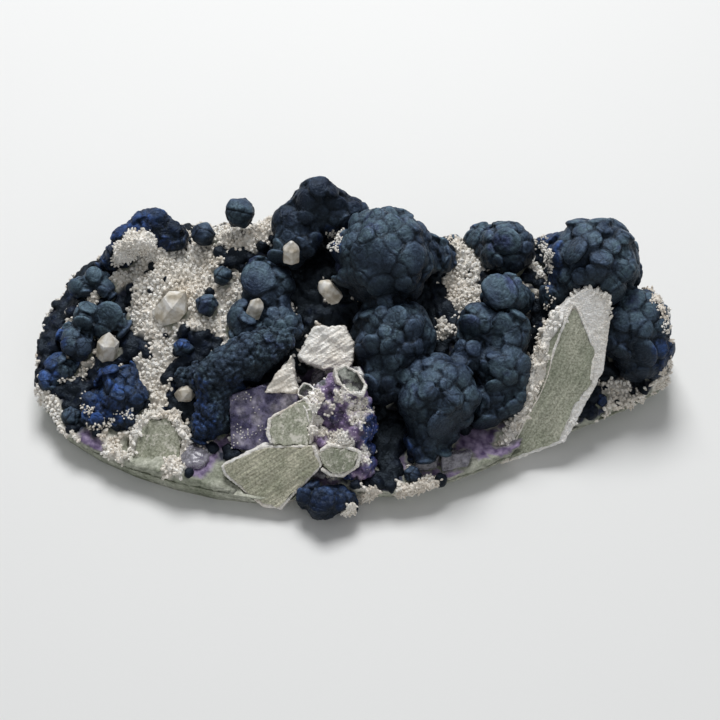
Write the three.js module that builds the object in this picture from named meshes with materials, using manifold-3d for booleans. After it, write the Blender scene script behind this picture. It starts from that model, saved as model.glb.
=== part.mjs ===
// Fluorite on quartz: a thin sawn slab of rock under a mound of quartz crust, with grape-like
// lumps of fluorite, free quartz crystals and a few crystals sawn flat at the front and right.
// Millimetres, +Z up. -Y is the front, +X the right, and the slab's sawn underside is z = 0.
import * as THREE from 'three';
import { mergeVertices } from 'three/addons/utils/BufferGeometryUtils.js';
import Module from 'manifold-3d';

const wasm = await Module();
wasm.setup();

// Driving dimensions. Ripple, lean and lobe figures shape only the surface.
const slabHeight = 7;
const undersideMiddle = 6;
const gap = 0.35;
const crustLeast = 1.4;
const crustCell = 11;
const crustRipple = { height: 0.7, across: 0.55, back: 0.6, skew: 0.17, bend: 1.3, bendBack: 0.31 };
const slopeRoom = 1.4;
const pointCount = 18;
const pointRadius = [0.9, 1.7];
const pointLength = [2.6, 4.6];
const pointLean = [-25, 25];
const pointSunk = 1.5;
const pointAcross = [-98, 98];
const pointBack = [-36, 52];
const pointOff = 6;
const pointClear = 3;
const pointApart = 4;
const crystalTip = 1.1;
const crystalSides = 6;
const lobeLeast = 6;
const lobesPerRadius = 1.4;
const lobeReach = 0.74;
const lobeShare = 0.37;
const coreShare = 0.93;
const massLeast = 2;
const goldenAngle = Math.PI * (3 - Math.sqrt(5));
const cornerStretch = 1.25;
const floorSpan = 300;
const weldDistance = 1e-3;

// The slab's upper edge seen from above, anticlockwise: x, y, and how far the underside is
// undercut there.
const brim = [
  [-103, -5, 3], [-95, -17, 2], [-82, -26, 2], [-68, -33, 2], [-53, -38, 2], [-40, -41, 2],
  [-27, -43, 3], [-12, -41, 4], [2, -41, 4], [14, -41, 5], [25, -38, 6], [36, -34, 7],
  [47, -28, 6], [66, -18, 6], [80, -12, 7], [93, -5, 7], [103, 2, 6], [106, 10, 5],
  [103, 26, 5], [92, 41, 5], [74, 50, 5], [48, 55, 5], [15, 58, 5], [-20, 58, 5],
  [-50, 56, 5], [-76, 52, 5], [-93, 41, 5], [-102, 25, 4], [-105, 9, 3],
];
const brimSteps = 36;
const slabSteps = 2;
// Inwards is towards this line along the middle of the slab.
const spineHalf = 55;
const spineY = 8;

// Heights of the quartz crust: x, y, z.
const survey = [
  [-69, 35, 38], [-82, 28, 25], [-57, 20, 29], [-41, 21, 32], [-44, 33, 40], [-36, 41, 46],
  [-90, -2, 13], [-63, -10, 15], [-96, -13, 9], [-63, -21, 9], [-48, 5, 25], [-67, 5, 21],
  [-84, 14, 21], [-97, 13, 18], [-78, -14, 10], [-27, 41, 46], [-18, 14, 29], [-8, 31, 36],
  [-10, -3, 22], [-24, -12, 13], [-36, -10, 16], [-30, -24, 9], [-46, -20, 10], [-40, 5, 26],
  [-10, -20, 11], [-12, -36, 8.6], [10, 22, 31], [12, 2, 20], [15, 36, 36], [26, -12, 12],
  [38, 38, 37], [39, 17, 31], [32, 8, 26], [50, 34, 34], [62, 30, 36], [61, 16, 31],
  [50, 5, 22], [47, -4, 14], [59, 2, 19], [66, -8, 11], [76, 6, 18], [66, -16, 8.6],
  [87, -5, 9], [94, 11, 15], [80, 24, 30], [24, -24, 9], [40, -22, 9], [8, -36, 9],
  [0, -28, 10], [-35, -38, 8.6], [-80, -24, 8.6], [-101, -2, 13], [20, -38, 8.6],
  [-10, 48, 36], [-35, 49, 36], [20, 48, 30], [45, 47, 28], [72, 42, 26], [-60, 46, 30],
  [-85, 40, 22], [-12, 58, 18], [25, 57, 15], [50, 54, 14], [75, 49, 12], [92, 38, 12],
  [103, 20, 12], [-35, 57, 18], [-75, 52, 16], [-101, 26, 19], [-104, 9, 17],
];
const surveyPower = 4;
const surveyLength = 240;
const surveyDepth = 138;
const terrainDepth = 2;
const moundTop = 90;
const overrun = 1;

// Masses of fluorite. Each is drawn round its middle, with facets along an edge of the first
// icosahedron, and its lumps are rows of x, y, z and radius.
const crown = {
  middle: [9, 22, 48],
  facets: 4,
  lumps: [[9, 24, 46, 15], [28, 32, 37, 7], [12, 43, 37, 10]],
};
const waist = {
  middle: [12, -1, 31],
  facets: 3,
  lumps: [[12, 4, 29, 13.5], [9, -8, 22, 8.5]],
};
const rosette = {
  middle: [26, -17, 25],
  facets: 3,
  lumps: [[26, -14, 22, 13], [23, -26, 10, 8]],
};
const columns = {
  middle: [45, -2, 27],
  facets: 3,
  lumps: [
    [40, 7, 32, 7.2], [50, 5, 31, 7], [37, -1, 26, 6.5], [47, -4, 24, 9], [50, -11, 17, 7],
    [42, -14, 16, 7],
  ],
};
const peak = {
  middle: [-12, 39, 48],
  facets: 2,
  lumps: [
    [-12, 42, 50, 9.5], [-11, 41, 58.5, 4.8], [-2, 39, 49, 7.5], [-21, 38, 47, 6.5],
    [-18, 30, 45, 6], [-24, 28, 42, 5], [-14, 50, 34, 8],
  ],
};
const midLeft = {
  middle: [-30, 16, 32],
  facets: 2,
  lumps: [
    [-28, 22, 34, 8.5], [-33, 29, 37, 4.5], [-34, 8, 29, 7], [-24, 8, 29, 7.5], [-36, 14, 30, 5.5],
  ],
};
const loaf = {
  middle: [-37, -8, 26],
  facets: 3,
  lumps: [
    [-45, -9.5, 26, 6], [-40, -7, 28.5, 7], [-34, -4.5, 30, 7.6], [-28, -2, 31.5, 6.6],
    [-23, 0, 32.5, 5.2], [-44, -16, 17, 8], [-48, -22, 11.5, 5.5], [-54, -5, 19, 4.8],
  ],
};
const dome = {
  middle: [77, 23, 42],
  facets: 4,
  lumps: [[77, 25, 41.5, 14.5], [66, 17, 34, 6.5], [84, 34, 26, 10], [68, 38, 30, 9]],
};
const flank = {
  middle: [91, 9, 25],
  facets: 3,
  lumps: [[90, 12, 26, 12.5], [94, 7, 19, 9.8], [78, 10, 29, 8]],
};
const backRight = {
  middle: [49, 36, 37],
  facets: 2,
  lumps: [[50, 34, 39, 9], [43, 41, 34, 7], [53, 43, 30, 7.5]],
};
const rightBall = {
  middle: [49, 15, 36],
  facets: 1,
  lumps: [[47.5, 14.6, 37.5, 7.6], [54, 18, 33, 4.6]],
};
const backLeft = {
  middle: [-69, 42, 37],
  facets: 2,
  lumps: [
    [-68, 43, 39, 7.5], [-76, 39, 37, 6], [-60, 40, 39, 5.4], [-70, 49, 30, 7], [-82, 38, 28, 6],
  ],
};
const leftUpper = {
  middle: [-86.5, 28, 27],
  facets: 1,
  lumps: [[-92, 28, 26.5, 4.4], [-86, 30, 28.5, 4.3], [-82, 25.5, 27, 3.5]],
};
const leftMiddle = {
  middle: [-87, 12, 22],
  facets: 2,
  lumps: [[-88, 16, 24.5, 5], [-78.5, 14, 24.5, 5.4], [-90.5, 8, 20.5, 5.6], [-96, 13, 20, 3.8]],
};
const leftRim = {
  middle: [-97, 1, 14],
  facets: 1,
  lumps: [[-96.5, 2, 15.5, 4.8], [-100, -2, 13.5, 3.9], [-93, 3, 15, 4]],
};
const lowerLeft = {
  middle: [-77, -9, 14],
  facets: 2,
  lumps: [
    [-79.5, -3.5, 17, 4.2], [-76, -9.5, 15, 6], [-83.5, -10.5, 12.5, 4.4], [-70.5, -9, 14.5, 5],
    [-73.5, -1.5, 18, 4.2], [-82, -16.5, 10.5, 4.6], [-74.5, -16.5, 10.5, 4.4],
  ],
};
const lowRight = {
  middle: [77, -9, 9.5],
  facets: 1,
  lumps: [[77, -9, 9.8, 3.2], [80, -6.5, 11, 3.2], [73.5, -12, 9.2, 2.6]],
};
const purpleRidge = {
  middle: [-3, -23, 19],
  facets: 2,
  lumps: [
    [-3, -15.5, 26.5, 8], [-1, -23, 19, 8.2], [0, -32, 10.5, 7.4], [-11, -19.5, 24, 6.4],
    [-9, -28, 15, 7],
  ],
};
const bottomMass = {
  middle: [-9, -43, 6.5],
  facets: 2,
  lumps: [[-10, -44, 6.4, 5.8], [-4, -43, 7, 5], [-14, -41, 8, 4.6]],
};
// Single balls on the crust.
const balls = [
  [-37.5, 40, 50, 5.3], [-50, 38, 42, 4.2], [-43, 23.5, 37.5, 3.3], [-48, 15, 33, 3.9],
  [-55.5, 3.5, 25, 3.4], [-91.5, -13.5, 10.4, 3.6], [18, -36, 10.2, 3], [-26, 54, 26, 4],
  [34, 54, 20, 4.4], [2, 57, 20, 3.2],
];

// Free quartz crystals: foot x, y, z, radius, length, lean to the right and to the back in
// degrees.
const quartzCrystals = [
  [-60, 15, 25, 5, 13, 8, 20], [-80, 5.5, 18, 3.6, 10, -10, 15], [-55, -9, 15, 3, 8, 15, -10],
  [-33, 10, 33, 2.6, 8, 20, 10], [-21, 25, 43, 3, 8, 10, 15], [-7, 14, 36, 2.8, 10, -15, 10],
  [-2, -12, 29, 3.4, 8, 40, -25],
];
// Flat-faced pieces. Each outline is drawn on its own face, x to the right and y up along it;
// the face's middle is at, it looks up by tilt and round by turn, and the body behind it is
// depth thick.
const quartzFan = {
  at: [-9, -3, 33],
  tilt: 55,
  outline: [[-9, -3], [-4, 6.5], [5.5, 7], [9, 0], [7.5, -6.5], [-1, -7]],
  depth: 12,
};
const quartzWedge = {
  at: [-24, -13.5, 29],
  tilt: 50,
  outline: [[-4.5, -3.6], [4, 7.8], [6, -3.6]],
  depth: 9,
};
const purpleBlock = {
  at: [-29, -21.5, 19],
  tilt: 45,
  turn: -12,
  outline: [[-12, 6], [-2, 11], [10, 10], [11, -4], [2, -10], [-9, -10.5]],
  depth: 14,
};
const glassySlabs = [
  {
    at: [22, -32.5, 11],
    tilt: 42,
    turn: 5,
    outline: [[-5, -2.8], [0, 4], [5.2, 4.4], [3.2, -3.6]],
    depth: 5,
  },
  {
    at: [32, -33, 11],
    tilt: 42,
    turn: 8,
    outline: [[-4.4, 3.8], [5.4, 3.6], [3.5, -1], [-0.2, -3.4], [-5.2, -3]],
    depth: 5,
  },
];

// Sawn faces: a core of grey-green rock, and a paler rim round it, thinner by rimStep.
const rimStep = 1.5;
const sawnRim = 1.55;
const ringWidth = 2.6;
const frontSawn = {
  at: [-26, -37.9, 12.1],
  tilt: 40,
  turn: -12,
  outline: [
    [-14.5, 0.5], [-3.5, 7.5], [10.8, 10.8], [13.7, 5.7], [3.4, -8.6], [-1.5, -8.4], [-13.5, -1.8],
  ],
  depth: 6,
};
const upperSawn = {
  at: [-20, -26.5, 24.5],
  tilt: 52,
  turn: -10,
  outline: [[3, 7], [-5.5, 0], [-5.5, -3.6], [-3.8, -6.8], [6.2, -6], [5, -0.3], [5.8, 4.2]],
  depth: 6,
};
const smallSawn = {
  at: [-5, -36, 17.5],
  tilt: 45,
  turn: 5,
  outline: [
    [-5.2, 2.6], [-1.6, 3.9], [2.7, 3], [5.6, 1.8], [4.4, -1.6], [1, -3.4], [-2.1, -3.2], [-5.2, -0.9],
  ],
  depth: 6,
};
const ringedCore = {
  at: [-63, -25, 10.5],
  tilt: 50,
  turn: -15,
  outline: [[-6, -6], [-6.5, 1], [-4, 7], [2, 9], [7, 3.5], [7.5, -5]],
  depth: 6,
};
const blade = {
  at: [65.5, -10, 22.5],
  tilt: 41,
  outline: [
    [3.6, 23.8], [9.8, 10.7], [9, 0.6], [4, -5.5], [2.1, -9.8], [-1, -17.5], [-16.5, -23.6],
    [-10.6, -11.1], [-4.4, 2.3], [-3, 13.6],
  ],
  depth: 8,
};
const bladeRindOutline = [
  [6.5, 31], [15.5, 29], [14.6, 14.5], [13.4, 4.2], [9.7, -3.2], [2, -18.5], [-16.8, -25.4],
  [-20, -20.6], [-14.2, -9.8], [-9.6, 3.2], [-5.6, 17.7], [1.5, 27],
];

// Room round the flat-faced pieces that the quartz points keep off: x, y, z and radius.
const pointFree = [
  [-29, -21.5, 19, 14], [-9, -3, 33, 10], [-24, -13.5, 29, 9], [-63, -25, 10.5, 11],
  [65.5, -10, 22.5, 18], [72, 2, 34, 16], [56, -20, 12, 12], [22, -32, 9, 7], [32, -32, 9, 7],
  [-26, -36, 10, 15], [-20, -26, 22, 8], [-5, -36, 14, 8],
];

const finishes = {
  matrix: new THREE.MeshStandardMaterial({ color: 0x7d8570, roughness: 0.95, metalness: 0 }),
  crust: new THREE.MeshStandardMaterial({ color: 0xd8d3c7, roughness: 0.7, metalness: 0 }),
  quartz: new THREE.MeshStandardMaterial({ color: 0xe2e0da, roughness: 0.2, metalness: 0 }),
  fluorite: new THREE.MeshStandardMaterial({ color: 0x1f2c47, roughness: 0.5, metalness: 0 }),
  purple: new THREE.MeshStandardMaterial({ color: 0x6f5f92, roughness: 0.3, metalness: 0 }),
  sawn: new THREE.MeshStandardMaterial({ color: 0x8c917d, roughness: 0.85, metalness: 0 }),
};

// The same run of numbers from 0 to 1 each time.
const chanceStep = 16807;
const chanceSpan = 2147483647;
let state = 7;
function chance() {
  state = (state * chanceStep) % chanceSpan;
  return state / chanceSpan;
}

function between([low, high]) {
  return low + (high - low) * chance();
}

function solidOf(geometry) {
  const bare = geometry.index ? geometry.toNonIndexed() : geometry.clone();
  bare.deleteAttribute('normal');
  bare.deleteAttribute('uv');
  const merged = mergeVertices(bare, weldDistance);
  return new wasm.Manifold(new wasm.Mesh({
    numProp: 3,
    vertProperties: new Float32Array(merged.attributes.position.array),
    triVerts: new Uint32Array(merged.index.array),
  }));
}

function geometryOf(solid) {
  const mesh = solid.getMesh();
  const geometry = new THREE.BufferGeometry();
  geometry.setAttribute('position', new THREE.BufferAttribute(mesh.vertProperties, mesh.numProp));
  geometry.setIndex(new THREE.BufferAttribute(mesh.triVerts, 1));
  return geometry;
}

// Loose crumbs left by a cut are dropped.
function largestBody(solid) {
  return solid.decompose().reduce((a, b) => (a.volume() > b.volume() ? a : b));
}

function joined(solids) {
  return solids.reduce((a, b) => a.add(b));
}

// All the room above the floor, less a gap.
const aboveFloor = solidOf(
  new THREE.BoxGeometry(floorSpan, floorSpan, floorSpan).translate(0, 0, floorSpan / 2 + gap),
);

// The brim as a smooth closed line.
const brimCurve = new THREE.CatmullRomCurve3(
  brim.map(([x, y, undercut]) => new THREE.Vector3(x, y, undercut)), true, 'centripetal',
);
const brimPoints = brimCurve.getSpacedPoints(brimSteps).slice(0, brimSteps);

function inwards(x, y) {
  const targetX = THREE.MathUtils.clamp(x, -spineHalf, spineHalf);
  return new THREE.Vector2(targetX - x, spineY - y).normalize();
}

// An upright prism on the brim, which is pushed outwards by grow.
function brimPrism(low, high, grow, steps = 1) {
  const corners = brimPoints.map((p) => {
    const way = inwards(p.x, p.y);
    return new THREE.Vector2(p.x - way.x * grow, p.y - way.y * grow);
  });
  const prism = new THREE.ExtrudeGeometry(new THREE.Shape(corners), {
    depth: high - low,
    steps,
    bevelEnabled: false,
  });
  return prism.translate(0, 0, low);
}

function nearestBrimPoint(x, y) {
  return brimPoints.reduce((a, b) => (Math.hypot(a.x - x, a.y - y) < Math.hypot(b.x - x, b.y - y) ? a : b));
}

// The slab, drawn in towards its underside by the undercut.
function slab() {
  const geometry = brimPrism(0, slabHeight, 0, slabSteps);
  const position = geometry.attributes.position;
  for (let i = 0; i < position.count; i += 1) {
    const x = position.getX(i);
    const y = position.getY(i);
    const way = inwards(x, y);
    const fall = 1 - position.getZ(i) / slabHeight;
    const inset = nearestBrimPoint(x, y).z * fall * fall;
    position.setXY(i, x + way.x * inset, y + way.y * inset);
  }
  return solidOf(geometry);
}

// Height of the crust at x, y: nearby survey points count most, plus a slight ripple.
function crustHeight(x, y) {
  let sum = 0;
  let weights = 0;
  for (const [sx, sy, sz] of survey) {
    const weight = 1 / (1 + Math.hypot(x - sx, y - sy)) ** surveyPower;
    sum += sz * weight;
    weights += weight;
  }
  const { height, across, back, skew, bend, bendBack } = crustRipple;
  const wave = Math.sin(x * across + bend * Math.sin(y * bendBack)) * Math.cos(y * back + x * skew);
  return Math.max(sum / weights + height * wave, slabHeight + crustLeast);
}

// The mound between the given base and the crust's surface raised by lift.
function mound(base, lift, grow) {
  const across = Math.round(surveyLength / crustCell);
  const back = Math.round(surveyDepth / crustCell);
  const terrain = new THREE.BoxGeometry(surveyLength, surveyDepth, terrainDepth, across, back, 1);
  const position = terrain.attributes.position;
  for (let i = 0; i < position.count; i += 1) {
    const x = position.getX(i);
    const y = position.getY(i);
    position.setZ(i, position.getZ(i) > 0 ? crustHeight(x, y) + lift : base);
  }
  return solidOf(terrain).intersect(solidOf(brimPrism(base - overrun, moundTop, grow)));
}

// A six-sided crystal with a pointed end, standing on its foot.
function crystal([x, y, z, radius, length, leanRight, leanBack], grow) {
  const shoulder = length - radius * crystalTip;
  const profile = [[0, -grow], [radius + grow, -grow], [radius + grow, shoulder], [0, length + grow * 2]];
  const geometry = new THREE.LatheGeometry(profile.map(([r, h]) => new THREE.Vector2(r, h)), crystalSides);
  geometry.rotateX(Math.PI / 2);
  geometry.rotateX(-THREE.MathUtils.degToRad(leanBack));
  geometry.rotateY(THREE.MathUtils.degToRad(leanRight));
  return solidOf(geometry.translate(x, y, z));
}

// The lobes that stand out from a lump, spread evenly over it.
function lobesOf([x, y, z, radius]) {
  const count = Math.round(lobeLeast + radius * lobesPerRadius);
  const lobes = [new THREE.Sphere(new THREE.Vector3(x, y, z), radius * coreShare)];
  for (let i = 0; i < count; i += 1) {
    const height = 1 - (2 * i + 1) / count;
    const turn = i * goldenAngle + x + y;
    const wide = Math.sqrt(1 - height * height);
    const way = new THREE.Vector3(wide * Math.cos(turn), wide * Math.sin(turn), height);
    way.multiplyScalar(radius * lobeReach).add(lobes[0].center);
    lobes.push(new THREE.Sphere(way, radius * lobeShare));
  }
  return lobes;
}

// A mass's surface is the furthest lobe along each line from its middle.
function mass({ middle, facets, lumps }, grow) {
  const lobes = lumps.flatMap(lobesOf);
  const from = new THREE.Vector3(...middle);
  const geometry = new THREE.IcosahedronGeometry(1, facets);
  const position = geometry.attributes.position;
  const way = new THREE.Vector3();
  for (let i = 0; i < position.count; i += 1) {
    way.fromBufferAttribute(position, i).normalize();
    let reach = massLeast;
    for (const { center, radius } of lobes) {
      const off = center.clone().sub(from);
      const along = way.dot(off);
      const inside = along * along - off.lengthSq() + (radius + grow) ** 2;
      if (inside > 0) reach = Math.max(reach, along + Math.sqrt(inside));
    }
    position.setXYZ(i, way.x * reach, way.y * reach, way.z * reach);
  }
  return solidOf(geometry.translate(...middle));
}

function masses(list, grow) {
  return joined(list.map((one) => mass(one, grow)));
}

function ball(row, grow) {
  return mass({ middle: row.slice(0, 3), facets: 1, lumps: [row] }, grow);
}

// A flat-faced piece, with its outline widened by the margin as well.
function facedPrism({ at, tilt, turn = 0, outline, depth }, grow, margin = 0) {
  const middle = new THREE.Vector2();
  outline.forEach(([x, y]) => middle.add(new THREE.Vector2(x, y).divideScalar(outline.length)));
  const corners = outline.map(([x, y]) => {
    const out = new THREE.Vector2(x, y).sub(middle).setLength((margin + grow) * cornerStretch);
    return out.add(new THREE.Vector2(x, y));
  });
  const geometry = new THREE.ExtrudeGeometry(new THREE.Shape(corners), {
    depth: depth + grow * 2,
    bevelEnabled: false,
  });
  geometry.translate(0, 0, -depth - grow);
  geometry.rotateX(THREE.MathUtils.degToRad(90 - tilt));
  geometry.rotateZ(THREE.MathUtils.degToRad(turn));
  return solidOf(geometry.translate(...at));
}

// The rock is drawn from the middle of its front part, and stands with the middle of its
// underside at the origin.
const specimen = new THREE.Group();
const rock = new THREE.Group();
rock.position.y = -undersideMiddle;
specimen.add(rock);

function place(name, finish, solid) {
  const mesh = new THREE.Mesh(geometryOf(solid), finish);
  mesh.name = name;
  rock.add(mesh);
}

// Each piece is cut by the room of the pieces before it, so that none touch.
const rooms = [];
function settle(name, finish, solid, room) {
  place(name, finish, largestBody(rooms.reduce((left, taken) => left.subtract(taken), solid)));
  if (room) rooms.push(room);
}

function grow(name, finish, shape) {
  settle(name, finish, shape(0), shape(gap));
}

// A sawn face: a grey-green core flush in a paler rim.
function growSawn(name, face, rimFinish, margin, outline = face.outline) {
  const rim = { ...face, outline, depth: face.depth - rimStep };
  grow(`${name}_core`, finishes.sawn, (more) => facedPrism(face, more).intersect(aboveFloor));
  grow(`${name}_rim`, rimFinish, (more) => facedPrism(rim, more, margin).intersect(aboveFloor));
}

function growSawnFaces() {
  growSawn('front_sawn', frontSawn, finishes.quartz, sawnRim);
  growSawn('upper_sawn', upperSawn, finishes.quartz, sawnRim);
  growSawn('small_sawn', smallSawn, finishes.quartz, sawnRim);
  growSawn('ringed', ringedCore, finishes.crust, ringWidth);
  growSawn('blade', blade, finishes.crust, 0, bladeRindOutline);
}

function growQuartz() {
  grow('quartz_fan', finishes.quartz, (more) => facedPrism(quartzFan, more));
  grow('quartz_wedge', finishes.quartz, (more) => facedPrism(quartzWedge, more));
  quartzCrystals.forEach((row, i) => {
    grow(`quartz_crystal_${i + 1}`, finishes.quartz, (more) => crystal(row, more));
  });
}

function growPurple() {
  grow('purple_block', finishes.purple, (more) => facedPrism(purpleBlock, more));
  glassySlabs.forEach((glassy, i) => {
    grow(`glassy_slab_${i + 1}`, finishes.purple, (more) => facedPrism(glassy, more));
  });
  grow('purple_ridge', finishes.purple, (more) => mass(purpleRidge, more));
}

function growFluorite() {
  const grownTogether = {
    fluorite_centre: [crown, waist, rosette, columns, peak],
    fluorite_mid_left: [midLeft],
    fluorite_loaf: [loaf],
    fluorite_dome: [dome, flank],
    fluorite_back_right: [backRight],
    fluorite_right_ball: [rightBall],
    fluorite_back_left: [backLeft],
    fluorite_left_upper: [leftUpper],
    fluorite_left_middle: [leftMiddle],
    fluorite_left_rim: [leftRim],
    fluorite_lower_left: [lowerLeft],
    fluorite_low_right: [lowRight],
    fluorite_bottom: [bottomMass],
  };
  for (const [name, list] of Object.entries(grownTogether)) {
    grow(name, finishes.fluorite, (more) => masses(list, more));
  }
  balls.forEach((row, i) => {
    grow(`fluorite_ball_${i + 1}`, finishes.fluorite, (more) => ball(row, more));
  });
}

// Small quartz points stand on the crust where nothing else does.
function crustPoints() {
  const grown = [
    crown, waist, rosette, columns, peak, midLeft, loaf, dome, flank, backRight, rightBall, backLeft,
    leftUpper, leftMiddle, leftRim, lowerLeft, lowRight, purpleRidge, bottomMass,
  ];
  const taken = [...grown.flatMap(({ lumps }) => lumps), ...balls, ...quartzCrystals, ...pointFree];
  const points = [];
  while (points.length < pointCount) {
    const x = between(pointAcross);
    const y = between(pointBack);
    const z = crustHeight(x, y);
    const edge = nearestBrimPoint(x, y);
    const way = inwards(edge.x, edge.y);
    const inside = (x - edge.x) * way.x + (y - edge.y) * way.y > pointOff;
    const free = taken.every(([tx, ty, tz, r]) => Math.hypot(x - tx, y - ty, z - tz) > r + pointClear);
    const apart = points.every(([px, py]) => Math.hypot(x - px, y - py) > pointApart);
    if (inside && free && apart) {
      const size = [between(pointRadius), between(pointLength)];
      points.push([x, y, z - pointSunk, ...size, between(pointLean), between(pointLean)]);
    }
  }
  return points;
}

const points = crustPoints();
const crust = joined([mound(slabHeight + gap, 0, 0), ...points.map((row) => crystal(row, 0))]);
const crustRoom = joined([mound(-gap, gap * slopeRoom, gap), ...points.map((row) => crystal(row, gap))]);

growSawnFaces();
settle('matrix_slab', finishes.matrix, slab());
settle('quartz_crust', finishes.crust, crust, crustRoom);
growQuartz();
growPurple();
growFluorite();

export default specimen;
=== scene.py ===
import math
import random

import bmesh
import bpy
import numpy as np
from mathutils import Matrix, Vector, noise
from mathutils.bvhtree import BVHTree
from mathutils.kdtree import KDTree


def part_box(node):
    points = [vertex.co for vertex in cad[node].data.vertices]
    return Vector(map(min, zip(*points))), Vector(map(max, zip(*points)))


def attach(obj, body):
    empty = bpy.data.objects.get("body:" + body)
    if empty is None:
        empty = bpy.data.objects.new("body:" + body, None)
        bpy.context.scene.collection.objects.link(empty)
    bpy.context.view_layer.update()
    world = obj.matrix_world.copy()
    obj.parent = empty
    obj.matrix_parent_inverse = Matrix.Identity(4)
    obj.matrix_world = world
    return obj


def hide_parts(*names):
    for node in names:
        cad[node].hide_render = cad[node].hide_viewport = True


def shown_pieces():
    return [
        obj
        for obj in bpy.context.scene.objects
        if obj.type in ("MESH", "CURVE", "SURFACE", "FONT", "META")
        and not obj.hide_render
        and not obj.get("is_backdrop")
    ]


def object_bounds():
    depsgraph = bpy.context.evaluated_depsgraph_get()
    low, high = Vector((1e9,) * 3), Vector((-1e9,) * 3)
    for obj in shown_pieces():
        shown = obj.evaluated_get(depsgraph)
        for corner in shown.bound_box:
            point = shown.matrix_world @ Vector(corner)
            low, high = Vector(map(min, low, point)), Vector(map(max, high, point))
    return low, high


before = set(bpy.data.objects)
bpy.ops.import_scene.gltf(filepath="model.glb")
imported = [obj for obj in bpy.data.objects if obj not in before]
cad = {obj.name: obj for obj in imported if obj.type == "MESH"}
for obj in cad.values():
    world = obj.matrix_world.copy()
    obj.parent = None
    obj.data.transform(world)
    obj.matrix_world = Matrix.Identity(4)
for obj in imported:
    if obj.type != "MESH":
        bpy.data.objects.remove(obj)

cadLow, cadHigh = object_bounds()
scene = bpy.context.scene
mm = 0.001
noise.seed_set(12)  # noise vectors would differ from run to run
print("frame loaded,", len(cad), "nodes")

# camera at the photo's angle; the photo is 720 pixels square
photoView = {
    "lookAt": (0.0, -0.006, 0.028),
    "away": 0.45,
    "elevation": 50.0,
    "lens": 70.425,
    "sensor": 36.0,
    "shift": (5 / 720, -10 / 720),
    "side": 720,
    "pixel": 0.32 * mm,  # size of a photo pixel on the specimen
}


def setUpCamera():
    rise = math.radians(photoView["elevation"])
    back = Vector((0, -math.cos(rise), math.sin(rise)))
    place = Vector(photoView["lookAt"]) + back * photoView["away"]
    data = bpy.data.cameras.new("photoCamera")
    data.lens = photoView["lens"]
    data.sensor_width = photoView["sensor"]
    data.shift_x, data.shift_y = photoView["shift"]
    made = bpy.data.objects.new("photoCamera", data)
    scene.collection.objects.link(made)
    made.matrix_world = Matrix.Translation(place) @ back.to_track_quat("Z", "Y").to_matrix().to_4x4()
    scene.camera = made
    return made


camera = setUpCamera()
fromCamera = camera.matrix_world.copy()
toCamera = fromCamera.inverted()
fieldSpread = photoView["sensor"] / photoView["lens"]
pictureRight, pictureUp = fromCamera.to_3x3().col[0], fromCamera.to_3x3().col[1]


def photoRay(u, v):
    across = (u / photoView["side"] - 0.5 + photoView["shift"][0]) * fieldSpread
    up = (0.5 - v / photoView["side"] + photoView["shift"][1]) * fieldSpread
    return fromCamera.translation, (fromCamera.to_3x3() @ Vector((across, up, -1))).normalized()


def photoPixel(x, y, z):
    # from the camera's own space, for numbers or for whole arrays
    u = (x / -z / fieldSpread + 0.5 - photoView["shift"][0]) * photoView["side"]
    v = (0.5 + photoView["shift"][1] - y / -z / fieldSpread) * photoView["side"]
    return u, v


def alongPicture(slant):
    # the way that slants up to the right in the picture by this many degrees
    return pictureRight * math.cos(math.radians(slant)) + pictureUp * math.sin(math.radians(slant))


def copyOf(*names):
    bm = bmesh.new()
    for name in names:
        bm.from_mesh(cad[name].data)
    bmesh.ops.remove_doubles(bm, verts=bm.verts, dist=0.002 * mm)
    bm.normal_update()
    return bm


keptTrees = {}


def treeOf(*names):
    if names not in keptTrees:
        bm = copyOf(*names)
        keptTrees[names] = BVHTree.FromBMesh(bm)
        bm.free()
    return keptTrees[names]


groundNodes = ("matrix_slab", "quartz_crust")
standingNodes = tuple(sorted(set(cad) - set(groundNodes)))


def photoSpot(u, v, *names):
    # where the photo's pixel lands on these nodes, or the nearest place beside its ray
    start, way = photoRay(u, v)
    tree = treeOf(*names)
    spot, normal = tree.ray_cast(start, way)[:2]
    if spot is None:
        low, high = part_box(names[0])
        along = ((low + high) / 2 - start).dot(way)
        spot, normal = tree.find_nearest(start + way * along)[:2]
    return spot, normal


def sawnFace(core):
    # a place on the sawn face and the way it looks
    bm = copyOf(core)
    bmesh.ops.dissolve_limit(bm, angle_limit=math.radians(3), verts=bm.verts, edges=bm.edges)
    eye = fromCamera.translation
    toward = [face for face in bm.faces if face.normal.dot(eye - face.calc_center_median()) > 0]
    face = max(toward, key=lambda face: face.calc_area())
    place, way = face.calc_center_median(), face.normal.copy()
    bm.free()
    return place, way


def streakTurn(core, slant):
    # turn that lays streaks in the sawn face
    way = sawnFace(core)[1]
    along = alongPicture(slant)
    along -= way * along.dot(way)
    return tuple(along.to_track_quat("X", "Z").to_euler())


def makePiece(name, bm, *materials):
    data = bpy.data.meshes.new(name)
    bm.to_mesh(data)
    bm.free()
    piece = bpy.data.objects.new(name, data)
    scene.collection.objects.link(piece)
    for material in materials:
        data.materials.append(material)
    return piece


def applyModifiers(piece):
    graph = bpy.context.evaluated_depsgraph_get()
    finished = bpy.data.meshes.new_from_object(piece.evaluated_get(graph))
    piece.modifiers.clear()
    old = piece.data
    for material in old.materials:
        if material.name not in finished.materials:
            finished.materials.append(material)
    piece.data = finished
    bpy.data.meshes.remove(old)


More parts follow.
